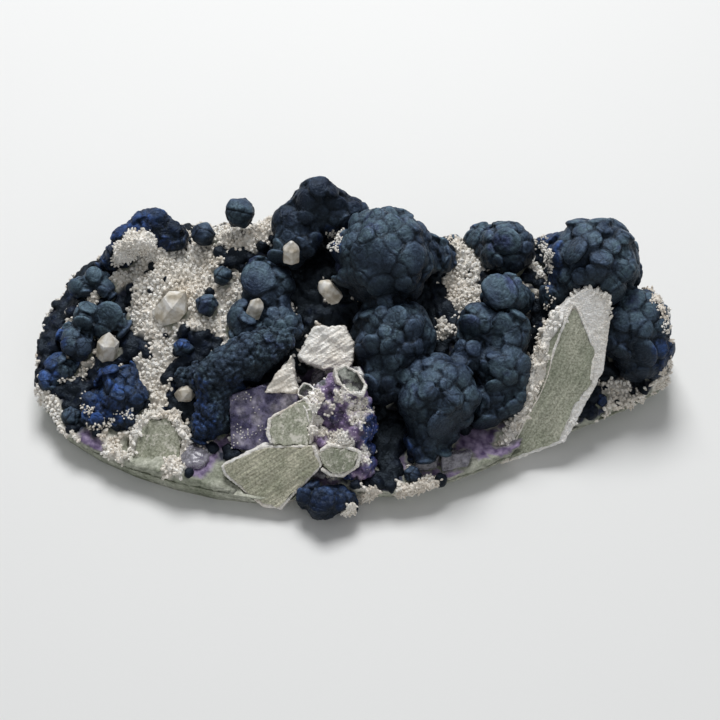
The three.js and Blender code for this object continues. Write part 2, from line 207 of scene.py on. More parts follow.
def dressSkin(piece, voxel, relax=1, rough=(), kept=None):
    # new even faces, roughened by rows of kind, size, height and level, and thinned to the share kept
    rebuild = piece.modifiers.new("rebuild", "REMESH")
    rebuild.mode = "VOXEL"
    rebuild.voxel_size = voxel
    ease = piece.modifiers.new("ease", "SMOOTH")
    ease.factor = 0.5
    ease.iterations = relax
    for kind, size, height, level in rough:
        texture = bpy.data.textures.new(piece.name + kind.title(), kind)
        texture.noise_scale = size
        if kind == "VORONOI":
            texture.distance_metric = "DISTANCE_SQUARED"  # domes that meet in creases
        push = piece.modifiers.new("rough" + kind.title(), "DISPLACE")
        push.texture = texture
        push.texture_coords = "LOCAL"
        push.strength = height
        push.mid_level = level
    if kept:
        piece.modifiers.new("thin", "DECIMATE").ratio = kept
    applyModifiers(piece)


def readVectors(piece, kind):
    found = np.empty(len(piece.data.vertices) * 3, np.float32)
    piece.data.vertices.foreach_get(kind, found)
    return found.reshape(-1, 3)


def writeSpots(piece, spots):
    piece.data.vertices.foreach_set("co", spots.astype(np.float32).ravel())
    piece.data.update()


def addMark(piece, name, values):
    mark = piece.data.attributes.new(name, "FLOAT", "POINT")
    mark.data.foreach_set("value", np.asarray(values, np.float32))


def finishPiece(piece, slot, *replaced, smooth=True):
    roof = np.array(cadHigh) - 0.05 * mm
    writeSpots(piece, np.clip(readVectors(piece, "co"), np.array(cadLow), roof))
    if smooth:
        piece.data.shade_smooth()
    else:
        piece.data.shade_flat()
    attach(piece, "root")
    if replaced:
        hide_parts(*replaced)
    print(piece.name, len(piece.data.polygons), "faces")


def spotsOver(bm, apart, tries):
    # places spread over the faces, none closer than apart
    faces = bm.faces[:]
    taken = {}
    areas = [face.calc_area() for face in faces]
    for face in random.choices(faces, weights=areas, k=tries):
        a, b = random.random(), random.random()
        if a + b > 1:
            a, b = 1 - a, 1 - b
        first, second, third = face.verts[0], face.verts[1], face.verts[2]
        spot = first.co * (1 - a - b) + second.co * a + third.co * b
        normal = (first.normal * (1 - a - b) + second.normal * a + third.normal * b).normalized()
        cell = [int(c // apart) for c in spot]
        near = [
            other
            for i in (-1, 0, 1) for j in (-1, 0, 1) for k in (-1, 0, 1)
            for other in taken.get((cell[0] + i, cell[1] + j, cell[2] + k), [])
        ]
        if all((spot - other).length > apart for other in near):
            taken.setdefault(tuple(cell), []).append(spot)
            yield spot, normal


# how far the marks' borders wander, in pixels, and over what size
markEdge = {"size": 2.2 * mm, "drift": 7}


def photoMarks(piece, softness=0.35, **marks):
    # 1 inside ellipses of the photo, as u, v, half width and half height, falling to 0 at their edges
    spots = readVectors(piece, "co")
    seen = spots @ np.array(toCamera.to_3x3()).T + np.array(toCamera.translation)
    u, v = photoPixel(*seen.T)
    facing = ((np.array(fromCamera.translation) - spots) * readVectors(piece, "normal")).sum(axis=1) > 0
    wobble = np.array([noise.noise_vector(Vector(spot) / markEdge["size"]) for spot in spots])
    u, v = u + wobble[:, 0] * markEdge["drift"], v + wobble[:, 1] * markEdge["drift"]
    for name, patches in marks.items():
        value = np.zeros(len(u))
        for a, b, w, h in patches:
            away = np.sqrt(((u - a) / w) ** 2 + ((v - b) / h) ** 2)
            value = np.maximum(value, np.clip((1 - away) / softness, 0, 1) * facing)
        addMark(piece, name, value)


skyWays = [Vector((0.1, 0.1, 1)).normalized()] + [
    Vector((math.cos(turn) * 0.8, math.sin(turn) * 0.8, 0.75)).normalized()
    for turn in (0.4, 1.7, 2.9, 4.2, 5.4)
]
skyLook = {"lift": 1.6 * mm, "reach": 30 * mm}


def markHollowShade(piece):
    # painted shade: how much of the sky is hidden by the other forms within reach, darkening the colour there
    tree = treeOf(*sorted(cad))
    deep = []
    for vert in piece.data.vertices:
        start = vert.co + vert.normal * skyLook["lift"]
        hidden = 0
        for way in skyWays:
            met, normal = tree.ray_cast(start, way, skyLook["reach"])[:2]
            if met and normal.dot(way) < 0:
                hidden += 1
        deep.append(hidden / len(skyWays))
    addMark(piece, "deep", deep)


def addLobes(bm, lobes, flat):
    # flattened balls in handfuls, because one large mesh is slow to add to
    for first in range(0, len(lobes), 40):
        handful = bmesh.new()
        for spot, normal, radius in lobes[first:first + 40]:
            turn = normal.to_track_quat("Z", "X").to_matrix().to_4x4()
            shape = Matrix.Diagonal((radius, radius * random.uniform(0.82, 1.0), radius * flat, 1))
            lean = Matrix.Rotation(random.uniform(-0.3, 0.3), 4, "X")
            tilt = lean @ Matrix.Rotation(random.uniform(-3, 3), 4, "Z")
            place = Matrix.Translation(spot) @ turn @ tilt @ shape
            steps = 3 if radius > 2.5 * mm else 2
            bmesh.ops.create_icosphere(handful, subdivisions=steps, radius=1, matrix=place)
        held = bpy.data.meshes.new("handful")
        handful.to_mesh(held)
        handful.free()
        bm.from_mesh(held)
        bpy.data.meshes.remove(held)


def addNode(tree, kind, joins, **settings):
    node = tree.nodes.new("ShaderNode" + kind)
    for key, value in settings.items():
        setattr(node, key, value)
    for socket, value in joins.items():
        if isinstance(value, bpy.types.NodeSocket):
            tree.links.new(value, node.inputs[socket])
        else:
            node.inputs[socket].default_value = value
    return node


def startMaterial(name, roughness, ior, **extra):
    material = bpy.data.materials.new(name)
    material.use_nodes = True
    tree = material.node_tree
    inputs = tree.nodes["Principled BSDF"].inputs
    for socket, value in {"Roughness": roughness, "IOR": ior, **extra}.items():
        inputs[socket.replace("_", " ")].default_value = value
    return material, tree, addNode(tree, "TexCoord", {}).outputs["Object"]


def joinMaterial(material, colour, normal, **more):
    inputs = material.node_tree.nodes["Principled BSDF"].inputs
    for socket, value in {"Base Color": colour, "Normal": normal, **more}.items():
        material.node_tree.links.new(value, inputs[socket.replace("_", " ")])
    return material


def colourRamp(tree, factor, stops):
    ramp = addNode(tree, "ValToRGB", {"Fac": factor})
    points = ramp.color_ramp.elements
    while len(points) < len(stops):
        points.new(0.5)
    for point, (position, colour) in zip(points, stops):
        point.position = position
        point.color = (*colour, 1)
    return ramp.outputs["Color"]


def mixColour(tree, factor, first, second, blend="MIX"):
    node = addNode(tree, "Mix", {0: factor, 6: first, 7: second}, data_type="RGBA", blend_type=blend)
    return node.outputs[2]


def shadeBy(tree, colour, tone, share=1.0):
    return mixColour(tree, share, colour, tone, "MULTIPLY")


def sumOf(tree, kind, first, second=0.0, third=0.0, clamp=False):
    return addNode(tree, "Math", {0: first, 1: second, 2: third}, operation=kind, use_clamp=clamp).outputs[0]


def noiseOf(tree, place, scale, detail=3.0, roughness=0.5):
    joins = {"Vector": place, "Scale": scale, "Detail": detail, "Roughness": roughness}
    return addNode(tree, "TexNoise", joins).outputs["Fac"]


def noiseRamp(tree, place, grain, stops):
    # colours over a noise, given as scale, detail and roughness
    return colourRamp(tree, noiseOf(tree, place, *grain), stops)


def cellsOf(tree, place, scale, feature="F1", output="Distance"):
    return addNode(tree, "TexVoronoi", {"Vector": place, "Scale": scale}, feature=feature).outputs[output]


def bumpOf(tree, height, strength, distance, under=None):
    joins = {"Height": height, "Strength": strength, "Distance": distance}
    if under:
        joins["Normal"] = under
    return addNode(tree, "Bump", joins).outputs["Normal"]


def attributeOf(tree, name):
    return addNode(tree, "Attribute", {}, attribute_name=name).outputs["Fac"]


def paintedCreaseShading(tree, colour, dark, light, spread=0.05):
    # painted shade in the creases and painted light on the crests
    crest = addNode(tree, "NewGeometry", {}).outputs["Pointiness"]
    stops = [(0.5 - spread, (dark,) * 3), (0.5, (1, 1, 1)), (0.5 + spread, (light,) * 3)]
    return shadeBy(tree, colour, colourRamp(tree, crest, stops))


def crackedPlates(tree, place, scale, warp):
    # distance to the nearest crack between bent plates
    drift = addNode(tree, "TexNoise", {"Vector": place, "Scale": scale * 0.7, "Detail": 3.0}).outputs["Color"]
    bent = addNode(tree, "VectorMath", {0: drift, 1: (warp,) * 3, 2: place}, operation="MULTIPLY_ADD")
    return cellsOf(tree, bent.outputs["Vector"], scale, "DISTANCE_TO_EDGE")


def paintedTopLight(tree, colour, under, over):
    # painted light: the faces that look up are paler and those that look down darker, as under a lamp above
    normal = addNode(tree, "NewGeometry", {}).outputs["Normal"]
    facing = addNode(tree, "VectorMath", {0: normal, 1: (0.1, 0.25, 0.96)}, operation="DOT_PRODUCT")
    stops = [(0.0, (under,) * 3), (0.45, (0.8,) * 3), (0.9, (over,) * 3)]
    return shadeBy(tree, colour, colourRamp(tree, facing.outputs["Value"], stops))


def fluoriteMaterial(name, look):
    # near-black navy with a satin sheen, in cracked plates, royal blue where marked, with painted shade and
    # painted light
    material, tree, place = startMaterial(name, 0.5, 1.434, **look["shine"])
    broad = noiseOf(tree, place, look["patchScale"], 4, 0.6)
    royalShare = sumOf(tree, "MULTIPLY", attributeOf(tree, "royal"), look["royalShare"])
    royal = noiseRamp(tree, place, (330, 4, 0.6), look["royal"])
    colour = mixColour(tree, royalShare, colourRamp(tree, broad, look["colours"]), royal)
    colour = shadeBy(tree, colour, noiseRamp(tree, place, (900, 6, 0.8), look["grain"]))
    plates = crackedPlates(tree, place, look["plateScale"], look["bend"])
    cracks = colourRamp(tree, plates, [(0.0, (look["crackTone"],) * 3), (look["crack"], (1, 1, 1))])
    cracked = noiseRamp(tree, place, (60, 3), [(0.46, (0.1,) * 3), (0.58, (1, 1, 1))])
    colour = mixColour(tree, cracked, colour, shadeBy(tree, colour, cracks))
    wrinkles = crackedPlates(tree, place, look["wrinkleScale"], look["bend"] * 0.5)
    creases = colourRamp(tree, wrinkles, [(0.0, (0.35,) * 3), (0.12, (1, 1, 1))])
    colour = shadeBy(tree, colour, creases, look["wrinkles"])
    # painted shade in the creases between lobes and painted light on their middles
    lobeCreaseShade = sumOf(tree, "MULTIPLY_ADD", broad, 0.12, attributeOf(tree, "edge"))
    colour = shadeBy(tree, colour, colourRamp(tree, lobeCreaseShade, look["edges"]))
    # painted shade in the hollows and in the marked patches of black shade
    for mark in ("deep", "dark"):
        colour = shadeBy(tree, colour, colourRamp(tree, attributeOf(tree, mark), look[mark]))
    # painted light on upward faces and crests, painted shade on downward faces and in creases
    colour = paintedCreaseShading(tree, paintedTopLight(tree, colour, 0.3, 1.35), 0.25, 1.5)
    drift = sumOf(tree, "MULTIPLY", broad, 9.0)
    turns = sumOf(tree, "MULTIPLY_ADD", attributeOf(tree, "fromLobe"), look["ringPitch"], drift)
    normal = bumpOf(tree, sumOf(tree, "SINE", turns), look["rings"], 0.12 * mm)
    normal = bumpOf(tree, sumOf(tree, "MINIMUM", plates, 0.22), look["relief"], 1.4 * mm, normal)
    normal = bumpOf(tree, sumOf(tree, "MINIMUM", wrinkles, 0.2), look["wrinkles"], 0.9 * mm, normal)
    fine = noiseOf(tree, place, 2600, 5, 0.75)
    normal = bumpOf(tree, fine, 0.55, 0.14 * mm, normal)
    sparkle = colourRamp(tree, fine, [(0.35, (0.64,) * 3), (0.7, (0.38,) * 3)])
    return joinMaterial(material, colour, normal, Roughness=sparkle)


navyLook = {
    "shine": {
        "Specular_IOR_Level": 0.45, "Specular_Tint": (0.62, 0.8, 1.0, 1),
        "Sheen_Weight": 0.04, "Sheen_Roughness": 0.45, "Sheen_Tint": (0.45, 0.62, 0.9, 1),
    },
    "patchScale": 75.0,
    "colours": [
        (0.30, (0.013, 0.020, 0.042)), (0.45, (0.030, 0.045, 0.074)), (0.58, (0.042, 0.066, 0.088)),
        (0.72, (0.032, 0.042, 0.100)),
    ],
    "royal": [(0.38, (0.012, 0.022, 0.070)), (0.56, (0.014, 0.038, 0.14)), (0.74, (0.028, 0.075, 0.28))],
    "royalShare": 0.75,
    "grain": [(0.32, (0.35, 0.36, 0.42)), (0.68, (1.75, 1.75, 1.65))],
    # painted shade in the creases between lobes and painted light on their middles
    "edges": [(0.07, (0.03, 0.03, 0.06)), (0.16, (0.65, 0.65, 0.69)), (0.42, (1.3, 1.3, 1.27))],
    # painted shade in the hollows
    "deep": [(0.1, (1, 1, 1)), (0.7, (0.12, 0.13, 0.2))],
    # painted shade in the marked patches
    "dark": [(0.0, (1, 1, 1)), (1.0, (0.28, 0.28, 0.34))],
    "ringPitch": 8.0,
    "rings": 0.3,
    "plateScale": 250.0,
    "bend": 6 * mm,
    "crack": 0.08,
    "crackTone": 0.3,
    "relief": 0.3,
    "wrinkleScale": 800.0,
    "wrinkles": 0.35,
}
wrinkledLook = {**navyLook, "rings": 0.1, "plateScale": 420.0, "wrinkleScale": 900.0, "wrinkles": 0.9}
royalLook = {
    **navyLook,
    "patchScale": 160.0,
    "colours": [
        (0.34, (0.008, 0.012, 0.028)), (0.50, (0.014, 0.024, 0.056)), (0.66, (0.014, 0.034, 0.10)),
        (0.78, (0.020, 0.050, 0.20)),
    ],
    "plateScale": 420.0,
}
navyFluorite = fluoriteMaterial("navyFluorite", navyLook)
wrinkledFluorite = fluoriteMaterial("wrinkledFluorite", wrinkledLook)
royalFluorite = fluoriteMaterial("royalFluorite", royalLook)


def druseMaterial(name, pale, warm, shadow=0.8, speckle=1300, relief=0.5):
    material, tree, place = startMaterial(
        name, 0.32, 1.544, Subsurface_Weight=0.12, Subsurface_Radius=(1.2 * mm, 1.1 * mm, 1.0 * mm),
    )
    colour = noiseRamp(tree, place, (90, 4), [(0.35, warm), (0.62, pale)])
    shade = (shadow, shadow * 0.97, shadow * 0.93)
    specks = noiseRamp(tree, place, (speckle, 4, 0.7), [(0.36, shade), (0.58, (1, 1, 1))])
    colour = shadeBy(tree, colour, specks)
    normal = bumpOf(tree, noiseOf(tree, place, 2400, 4), 0.3, 0.15 * mm)
    return joinMaterial(material, colour, bumpOf(tree, cellsOf(tree, place, 1500), relief, 0.4 * mm, normal))


paleDruse = druseMaterial("paleDruse", (0.90, 0.87, 0.81), (0.76, 0.69, 0.60))
whiteDruse = druseMaterial("whiteDruse", (0.95, 0.94, 0.91), (0.86, 0.81, 0.73))
rindQuartz = druseMaterial("rindQuartz", (0.97, 0.96, 0.94), (0.90, 0.87, 0.81), 0.78, 1100, 0.7)


def rockColour(tree, place, look):
    colour = noiseRamp(tree, place, (look["speckScale"], 5, 0.7), look["colours"])
    clouds = [(0.35, look["shade"]), (0.65, (1.1, 1.1, 1.08))]
    return shadeBy(tree, colour, noiseRamp(tree, place, (look["cloudScale"], 3), clouds))


def sawLines(tree, place, turn, length):
    # fine streaks along the way the saw went
    joins = {"Vector": place, "Rotation": turn, "Scale": (length, 1, 1)}
    turned = addNode(tree, "Mapping", joins, vector_type="TEXTURE")
    return noiseOf(tree, turned.outputs["Vector"], 1500, 4, 0.6)


def rockMaterial(name, look):
    material, tree, place = startMaterial(name, 0.72, 1.52)
    lines = sawLines(tree, place, look["sawTurn"], look["sawLength"])
    streaks = colourRamp(tree, lines, [(0.36, (0.4, 0.4, 0.37)), (0.64, (1.45, 1.45, 1.4))])
    colour = shadeBy(tree, rockColour(tree, place, look), streaks, look["sawShade"])
    first, last = look["veinAt"]
    milk = [(first, (0, 0, 0)), (last, (look["veins"],) * 3)]
    veins = noiseRamp(tree, place, (look["veinScale"], 6, 0.75), milk)
    colour = mixColour(tree, veins, colour, look["veinColour"])
    normal = bumpOf(tree, lines, 0.2, 0.1 * mm)
    normal = bumpOf(tree, noiseOf(tree, place, 1800, 5, 0.7), 0.4, 0.12 * mm, normal)
    return joinMaterial(material, colour, normal)


matrixLook = {
    "speckScale": 700.0,
    "colours": [(0.3, (0.18, 0.19, 0.155)), (0.5, (0.40, 0.405, 0.35)), (0.7, (0.64, 0.64, 0.58))],
    "cloudScale": 70.0,
    "shade": (0.6, 0.64, 0.55),
    "sawTurn": (0, 0, math.radians(30)),
    "sawLength": 8.0,
    "sawShade": 0.2,
    "veinScale": 160.0,
    "veins": 0.5,
    "veinAt": (0.56, 0.68),
    "veinColour": (0.72, 0.70, 0.62, 1),
}
coreLook = {
    **matrixLook,
    "speckScale": 1500.0,
    "colours": [(0.34, (0.29, 0.275, 0.21)), (0.5, (0.55, 0.53, 0.425)), (0.66, (0.80, 0.77, 0.66))],
    "cloudScale": 120.0,
    "shade": (0.72, 0.76, 0.70),
    "sawTurn": streakTurn("front_sawn_core", 33),
    "sawLength": 16.0,
    "sawShade": 0.5,
    "veins": 0.0,
}
bladeLook = {
    **coreLook,
    "sawShade": 0.3,
    "sawTurn": streakTurn("blade_core", 60),
    "colours": [(0.34, (0.20, 0.205, 0.155)), (0.5, (0.40, 0.405, 0.33)), (0.66, (0.62, 0.62, 0.53))],
}
veinedLook = {**bladeLook, "veins": 1.0, "veinScale": 480.0, "veinAt": (0.52, 0.60)}
matrixRock = rockMaterial("matrixRock", matrixLook)
sawnCore = rockMaterial("sawnCore", coreLook)
veinedCore = rockMaterial("veinedCore", veinedLook)
bladeRock = rockMaterial("bladeRock", bladeLook)

# rock where nothing is marked; each mark has its noise and its colours
crustColours = {
    "druse": ((500, 4), [(0.35, (0.52, 0.48, 0.42)), (0.65, (0.84, 0.81, 0.75))]),
    "beads": ((220, 4), [(0.4, (0.006, 0.009, 0.02)), (0.7, (0.012, 0.022, 0.07))]),
    "purple": ((400, 4), [(0.35, (0.07, 0.04, 0.12)), (0.65, (0.34, 0.27, 0.42))]),
}


def crustMaterial():
    material, tree, place = startMaterial("crustSkin", 0.6, 1.52)
    colour = rockColour(tree, place, matrixLook)
    for mark, (grain, stops) in crustColours.items():
        colour = mixColour(tree, attributeOf(tree, mark), colour, noiseRamp(tree, place, grain, stops))
    # painted shade in the hollows
    paintedHollow = colourRamp(tree, attributeOf(tree, "deep"), [(0.3, (1, 1, 1)), (0.8, (0.25, 0.25, 0.28))])
    normal = bumpOf(tree, noiseOf(tree, place, 1200, 5, 0.7), 0.6, 0.3 * mm)
    return joinMaterial(material, shadeBy(tree, colour, paintedHollow), normal)


crustSkin = crustMaterial()


def crystalMaterial(name, look):
    material, tree, place = startMaterial(name, look["roughness"], look["ior"])
    colour = noiseRamp(tree, place, (look["patchScale"], 3), look["colours"])
    first, last = look["veil"]
    veil = [(first, (look["clear"],) * 3), (last, (0, 0, 0))]
    clear = noiseRamp(tree, place, (look["veilScale"], 5, 0.65), veil)
    if look["density"]:
        inside = addNode(tree, "VolumeAbsorption", {"Color": (*look["inside"], 1), "Density": look["density"]})
        tree.links.new(inside.outputs[0], tree.nodes["Material Output"].inputs["Volume"])
    normal = bumpOf(tree, noiseOf(tree, place, 900, 4), look["bump"], 0.2 * mm)
    return joinMaterial(material, colour, normal, Transmission_Weight=clear)


clearLook = {
    "roughness": 0.16,
    "ior": 1.544,
    "veilScale": 260.0,
    "veil": (0.46, 0.66),
    "clear": 0.95,
    "patchScale": 200.0,
    "colours": [(0.4, (0.80, 0.80, 0.77)), (0.6, (0.93, 0.93, 0.91))],
    "bump": 0.25,
    "inside": (0.85, 0.88, 0.80),
    "density": 25.0,
}
milkyLook = {
    **clearLook,
    "roughness": 0.3,
    "veil": (0.34, 0.58),
    "clear": 0.45,
    "patchScale": 320.0,
    "colours": [(0.36, (0.52, 0.46, 0.36)), (0.5, (0.78, 0.73, 0.64)), (0.64, (0.94, 0.92, 0.88))],
    "bump": 0.7,
    "density": 0.0,
}
smokyLook = {
    **clearLook,
    "colours": [(0.4, (0.30, 0.33, 0.29)), (0.6, (0.62, 0.64, 0.58))],
    "inside": (0.4, 0.45, 0.38),
    "density": 200.0,
}
purpleLook = {
    **clearLook,
    "roughness": 0.24,
    "ior": 1.434,
    "veilScale": 520.0,
    "veil": (0.40, 0.80),
    "clear": 0.75,
    "colours": [(0.34, (0.14, 0.13, 0.27)), (0.5, (0.40, 0.37, 0.56)), (0.66, (0.72, 0.68, 0.80))],
    "inside": (0.46, 0.38, 0.68),
    "density": 50.0,
    "bump": 0.4,
}
greyLook = {
    **purpleLook,
    "colours": [(0.35, (0.36, 0.35, 0.42)), (0.6, (0.50, 0.49, 0.55))],
    "inside": (0.50, 0.47, 0.62),
    "density": 80.0,
}
clearQuartz = crystalMaterial("clearQuartz", clearLook)
smokyQuartz = crystalMaterial("smokyQuartz", smokyLook)
milkyQuartz = crystalMaterial("milkyQuartz", milkyLook)
purpleFluorite = crystalMaterial("purpleFluorite", purpleLook)
greyFluorite = crystalMaterial("greyFluorite", greyLook)

# purple granular fluorite, in other colours where marked
sugarLook = {
    "purple": [
        (0.30, (0.020, 0.020, 0.055)), (0.43, (0.075, 0.052, 0.125)), (0.56, (0.21, 0.15, 0.27)),
        (0.70, (0.50, 0.43, 0.54)),
    ],
    "marks": {
        "grey": [(0.4, (0.10, 0.12, 0.12)), (0.6, (0.25, 0.25, 0.30))],
        "royal": [(0.4, (0.015, 0.025, 0.08)), (0.62, (0.035, 0.065, 0.22))],
        "white": [(0.38, (0.46, 0.40, 0.48)), (0.55, (0.90, 0.87, 0.85))],
    },
    "speck": (0.7, 0.66, 0.70, 1),
}


def sugarMaterial():
    material, tree, place = startMaterial("purpleSugar", 0.3, 1.434)
    colour = noiseRamp(tree, place, (170, 5, 0.65), sugarLook["purple"])
    patch = noiseOf(tree, place, 420, 4, 0.6)
    for mark, stops in sugarLook["marks"].items():
        colour = mixColour(tree, attributeOf(tree, mark), colour, colourRamp(tree, patch, stops))
    speck = colourRamp(tree, cellsOf(tree, place, 1100), [(0.10, (0.7,) * 3), (0.24, (0, 0, 0))])
    # painted shade in the creases and painted light on the crests
    colour = paintedCreaseShading(tree, mixColour(tree, speck, colour, sugarLook["speck"]), 0.35, 1.5)
    return joinMaterial(material, colour, bumpOf(tree, cellsOf(tree, place, 1400), 0.7, 0.3 * mm))


purpleSugar = sugarMaterial()
print("materials ready")


# the slab: flat underneath, its sides chipped between two heights
slabLook = {"cuts": 6, "chip": 0.9 * mm, "chipSize": 5 * mm, "chipped": (0.3 * mm, 6.9 * mm)}


def makeSlab():
    bm = copyOf("matrix_slab")
    bmesh.ops.dissolve_limit(bm, angle_limit=math.radians(1), verts=bm.verts, edges=bm.edges)
    sides = [face for face in bm.faces if abs(face.normal.z) < 0.9]
    edges = list({edge for face in sides for edge in face.edges})
    bmesh.ops.subdivide_edges(bm, edges=edges, cuts=slabLook["cuts"], use_grid_fill=True)
    bmesh.ops.triangulate(bm, faces=bm.faces)
    bm.normal_update()
    low, high = slabLook["chipped"]
    for vert in bm.verts:
        if low < vert.co.z < high:
            way = Vector((vert.normal.x, vert.normal.y, 0))
            vert.co -= way * slabLook["chip"] * abs(noise.fractal(vert.co / slabLook["chipSize"], 1, 2, 4))
    piece = makePiece("matrixSlab", bm, matrixRock)
    finishPiece(piece, "matrix", "matrix_slab", smooth=False)


makeSlab()

# where the photo shows white druse on the crust, as u, v, half width and half height in pixels
drusePatches = [
    (139, 245, 27, 17), (152, 272, 34, 20), (190, 262, 38, 20), (180, 305, 36, 30), (222, 300, 26, 40),
    (150, 315, 22, 22), (240, 234, 34, 20), (264, 224, 18, 14), (300, 235, 16, 13), (232, 320, 18, 22),
    (122, 282, 14, 12), (67, 316, 12, 4), (92, 300, 12, 5), (76, 367, 15, 17), (105, 343, 14, 18),
    (158, 395, 16, 22), (150, 372, 14, 12), (163, 350, 18, 16), (214, 282, 26, 20), (206, 318, 14, 14),
    (128, 436, 30, 16), (150, 418, 24, 12), (182, 432, 22, 10), (46, 410, 14, 28), (60, 440, 16, 12),
    (118, 450, 18, 18), (172, 462, 11, 17), (205, 440, 10, 12), (474, 248, 24, 30), (453, 284, 14, 20),
    (470, 300, 18, 22), (442, 331, 15, 12), (538, 255, 14, 20), (548, 276, 12, 10), (548, 296, 12, 14),
    (618, 397, 28, 15), (668, 383, 14, 22), (655, 302, 10, 20), (362, 504, 18, 15), (418, 490, 25, 12),
    (588, 408, 12, 10), (590, 378, 12, 12), (520, 300, 12, 14), (283, 510, 18, 8),
]
# and the purple and the bare rock
purplePatches = [
    (90, 448, 17, 18), (197, 460, 20, 16), (245, 430, 30, 28), (440, 460, 40, 20), (320, 430, 40, 60),
    (487, 438, 36, 12), (508, 446, 34, 13),
]
rockPatches = [
    (384, 508, 20, 7), (482, 466, 20, 13), (634, 408, 16, 7), (144, 458, 22, 16), (190, 490, 85, 13),
    (140, 472, 24, 8), (222, 474, 14, 11),
]
crustLook = {
    "skin": {
        "voxel": 1.0 * mm, "kept": 0.5,
        "rough": [("CLOUDS", 8 * mm, 2.2 * mm, 0.5), ("CLOUDS", 2 * mm, 0.9 * mm, 0.5)],
    },
    "wobbleSize": 4 * mm,
    "drift": 9,  # how far the patches' borders wander, in pixels
    "mound": 2.4 * mm,
    "moundSize": 4.5 * mm,
    "clear": 2.6 * mm,  # this near to a sawn face the crust stays behind it
    "behind": 1.2 * mm,
    "ahead": 8 * mm,
    "covered": 3 * mm,  # bare where another piece stands this near
    "wallTop": 10.5 * mm,  # bare sawn rock up to here on the front walls
    "bareBelow": 7.5 * mm,
    "ontoSlab": (8.2 * mm, 6.95 * mm),  # what is below the first comes down to the second
    "backSize": 16 * mm,
    "backShare": 0.55,  # druse on the parts that the photo doesn't show
}
sawnPairs = {
    "front_sawn_core": "front_sawn_rim",
    "upper_sawn_core": "upper_sawn_rim",
    "small_sawn_core": "small_sawn_rim",
    "ringed_core": "ringed_rim",
    "blade_core": "blade_rim",
}


def inPatch(u, v, patches):
    return any(((u - a) / w) ** 2 + ((v - b) / h) ** 2 < 1 for a, b, w, h in patches)


def crustKind(vert, wobble, standing):
    # what grows on the crust here
    u, v = photoPixel(*(toCamera @ vert.co))
    u, v = u + wobble.x * crustLook["drift"], v + wobble.y * crustLook["drift"]
    start = fromCamera.translation
    way = vert.co + vert.normal * mm - start
    hidden = vert.normal.dot(way) > 0 or standing.ray_cast(start, way.normalized(), way.length - 2 * mm)[0]
    covered = standing.ray_cast(vert.co - vert.normal * 0.5 * mm, vert.normal, crustLook["covered"])[0]
    wall = vert.co.z < crustLook["wallTop"] + wobble.z * 3 * mm and vert.normal.z < 0.5
    if covered or vert.normal.z < -0.3 or vert.co.z < crustLook["bareBelow"]:
        return None
    if hidden:
        share = noise.fractal(vert.co / crustLook["backSize"] + Vector((3, 5, 1)), 1, 2, 3) * 0.5 + 0.5
        return None if wall else "druse" if share < crustLook["backShare"] else "beads"
    if inPatch(u, v, drusePatches):
        return "druse"
    if inPatch(u, v, rockPatches) or wall:
        return None
    return "purple" if inPatch(u, v, purplePatches) else "beads"


def makeCrust():
    piece = makePiece("crustGround", copyOf("quartz_crust"), crustSkin)
    dressSkin(piece, **crustLook["skin"])
    standing = treeOf(*standingNodes)
    sawn = [(treeOf(core, rim), *sawnFace(core)) for core, rim in sawnPairs.items()]
    bm = bmesh.new()
    bm.from_mesh(piece.data)
    sown = {name: bm.verts.layers.float.new(name) for name in ("druse", "beads", "purple")}
    top, slabTop = crustLook["ontoSlab"]
    raised = {}
    for vert in bm.verts:
        kind = crustKind(vert, noise.noise_vector(vert.co / crustLook["wobbleSize"]), standing)
        for tree, place, look in sawn:
            ahead = (vert.co - place).dot(look) + crustLook["behind"]
            if 0 < ahead < crustLook["ahead"] and tree.find_nearest(vert.co, crustLook["clear"])[0]:
                raised[vert] = -look * ahead
                kind = None
        if kind:
            vert[sown[kind]] = 1.0
        if kind == "druse":  # in mounds
            height = max(noise.fractal(vert.co / crustLook["moundSize"], 1, 2, 3) + 0.35, 0)
            raised[vert] = Vector((0, 0, crustLook["mound"] * height))
        if vert.co.z < top:
            vert.co.z = min(vert.co.z, slabTop)
    for vert, push in raised.items():
        vert.co += push
    bm.to_mesh(piece.data)
    bm.free()
    markHollowShade(piece)
    finishPiece(piece, "quartz_druse", "quartz_crust")
    return piece


crust = makeCrust()


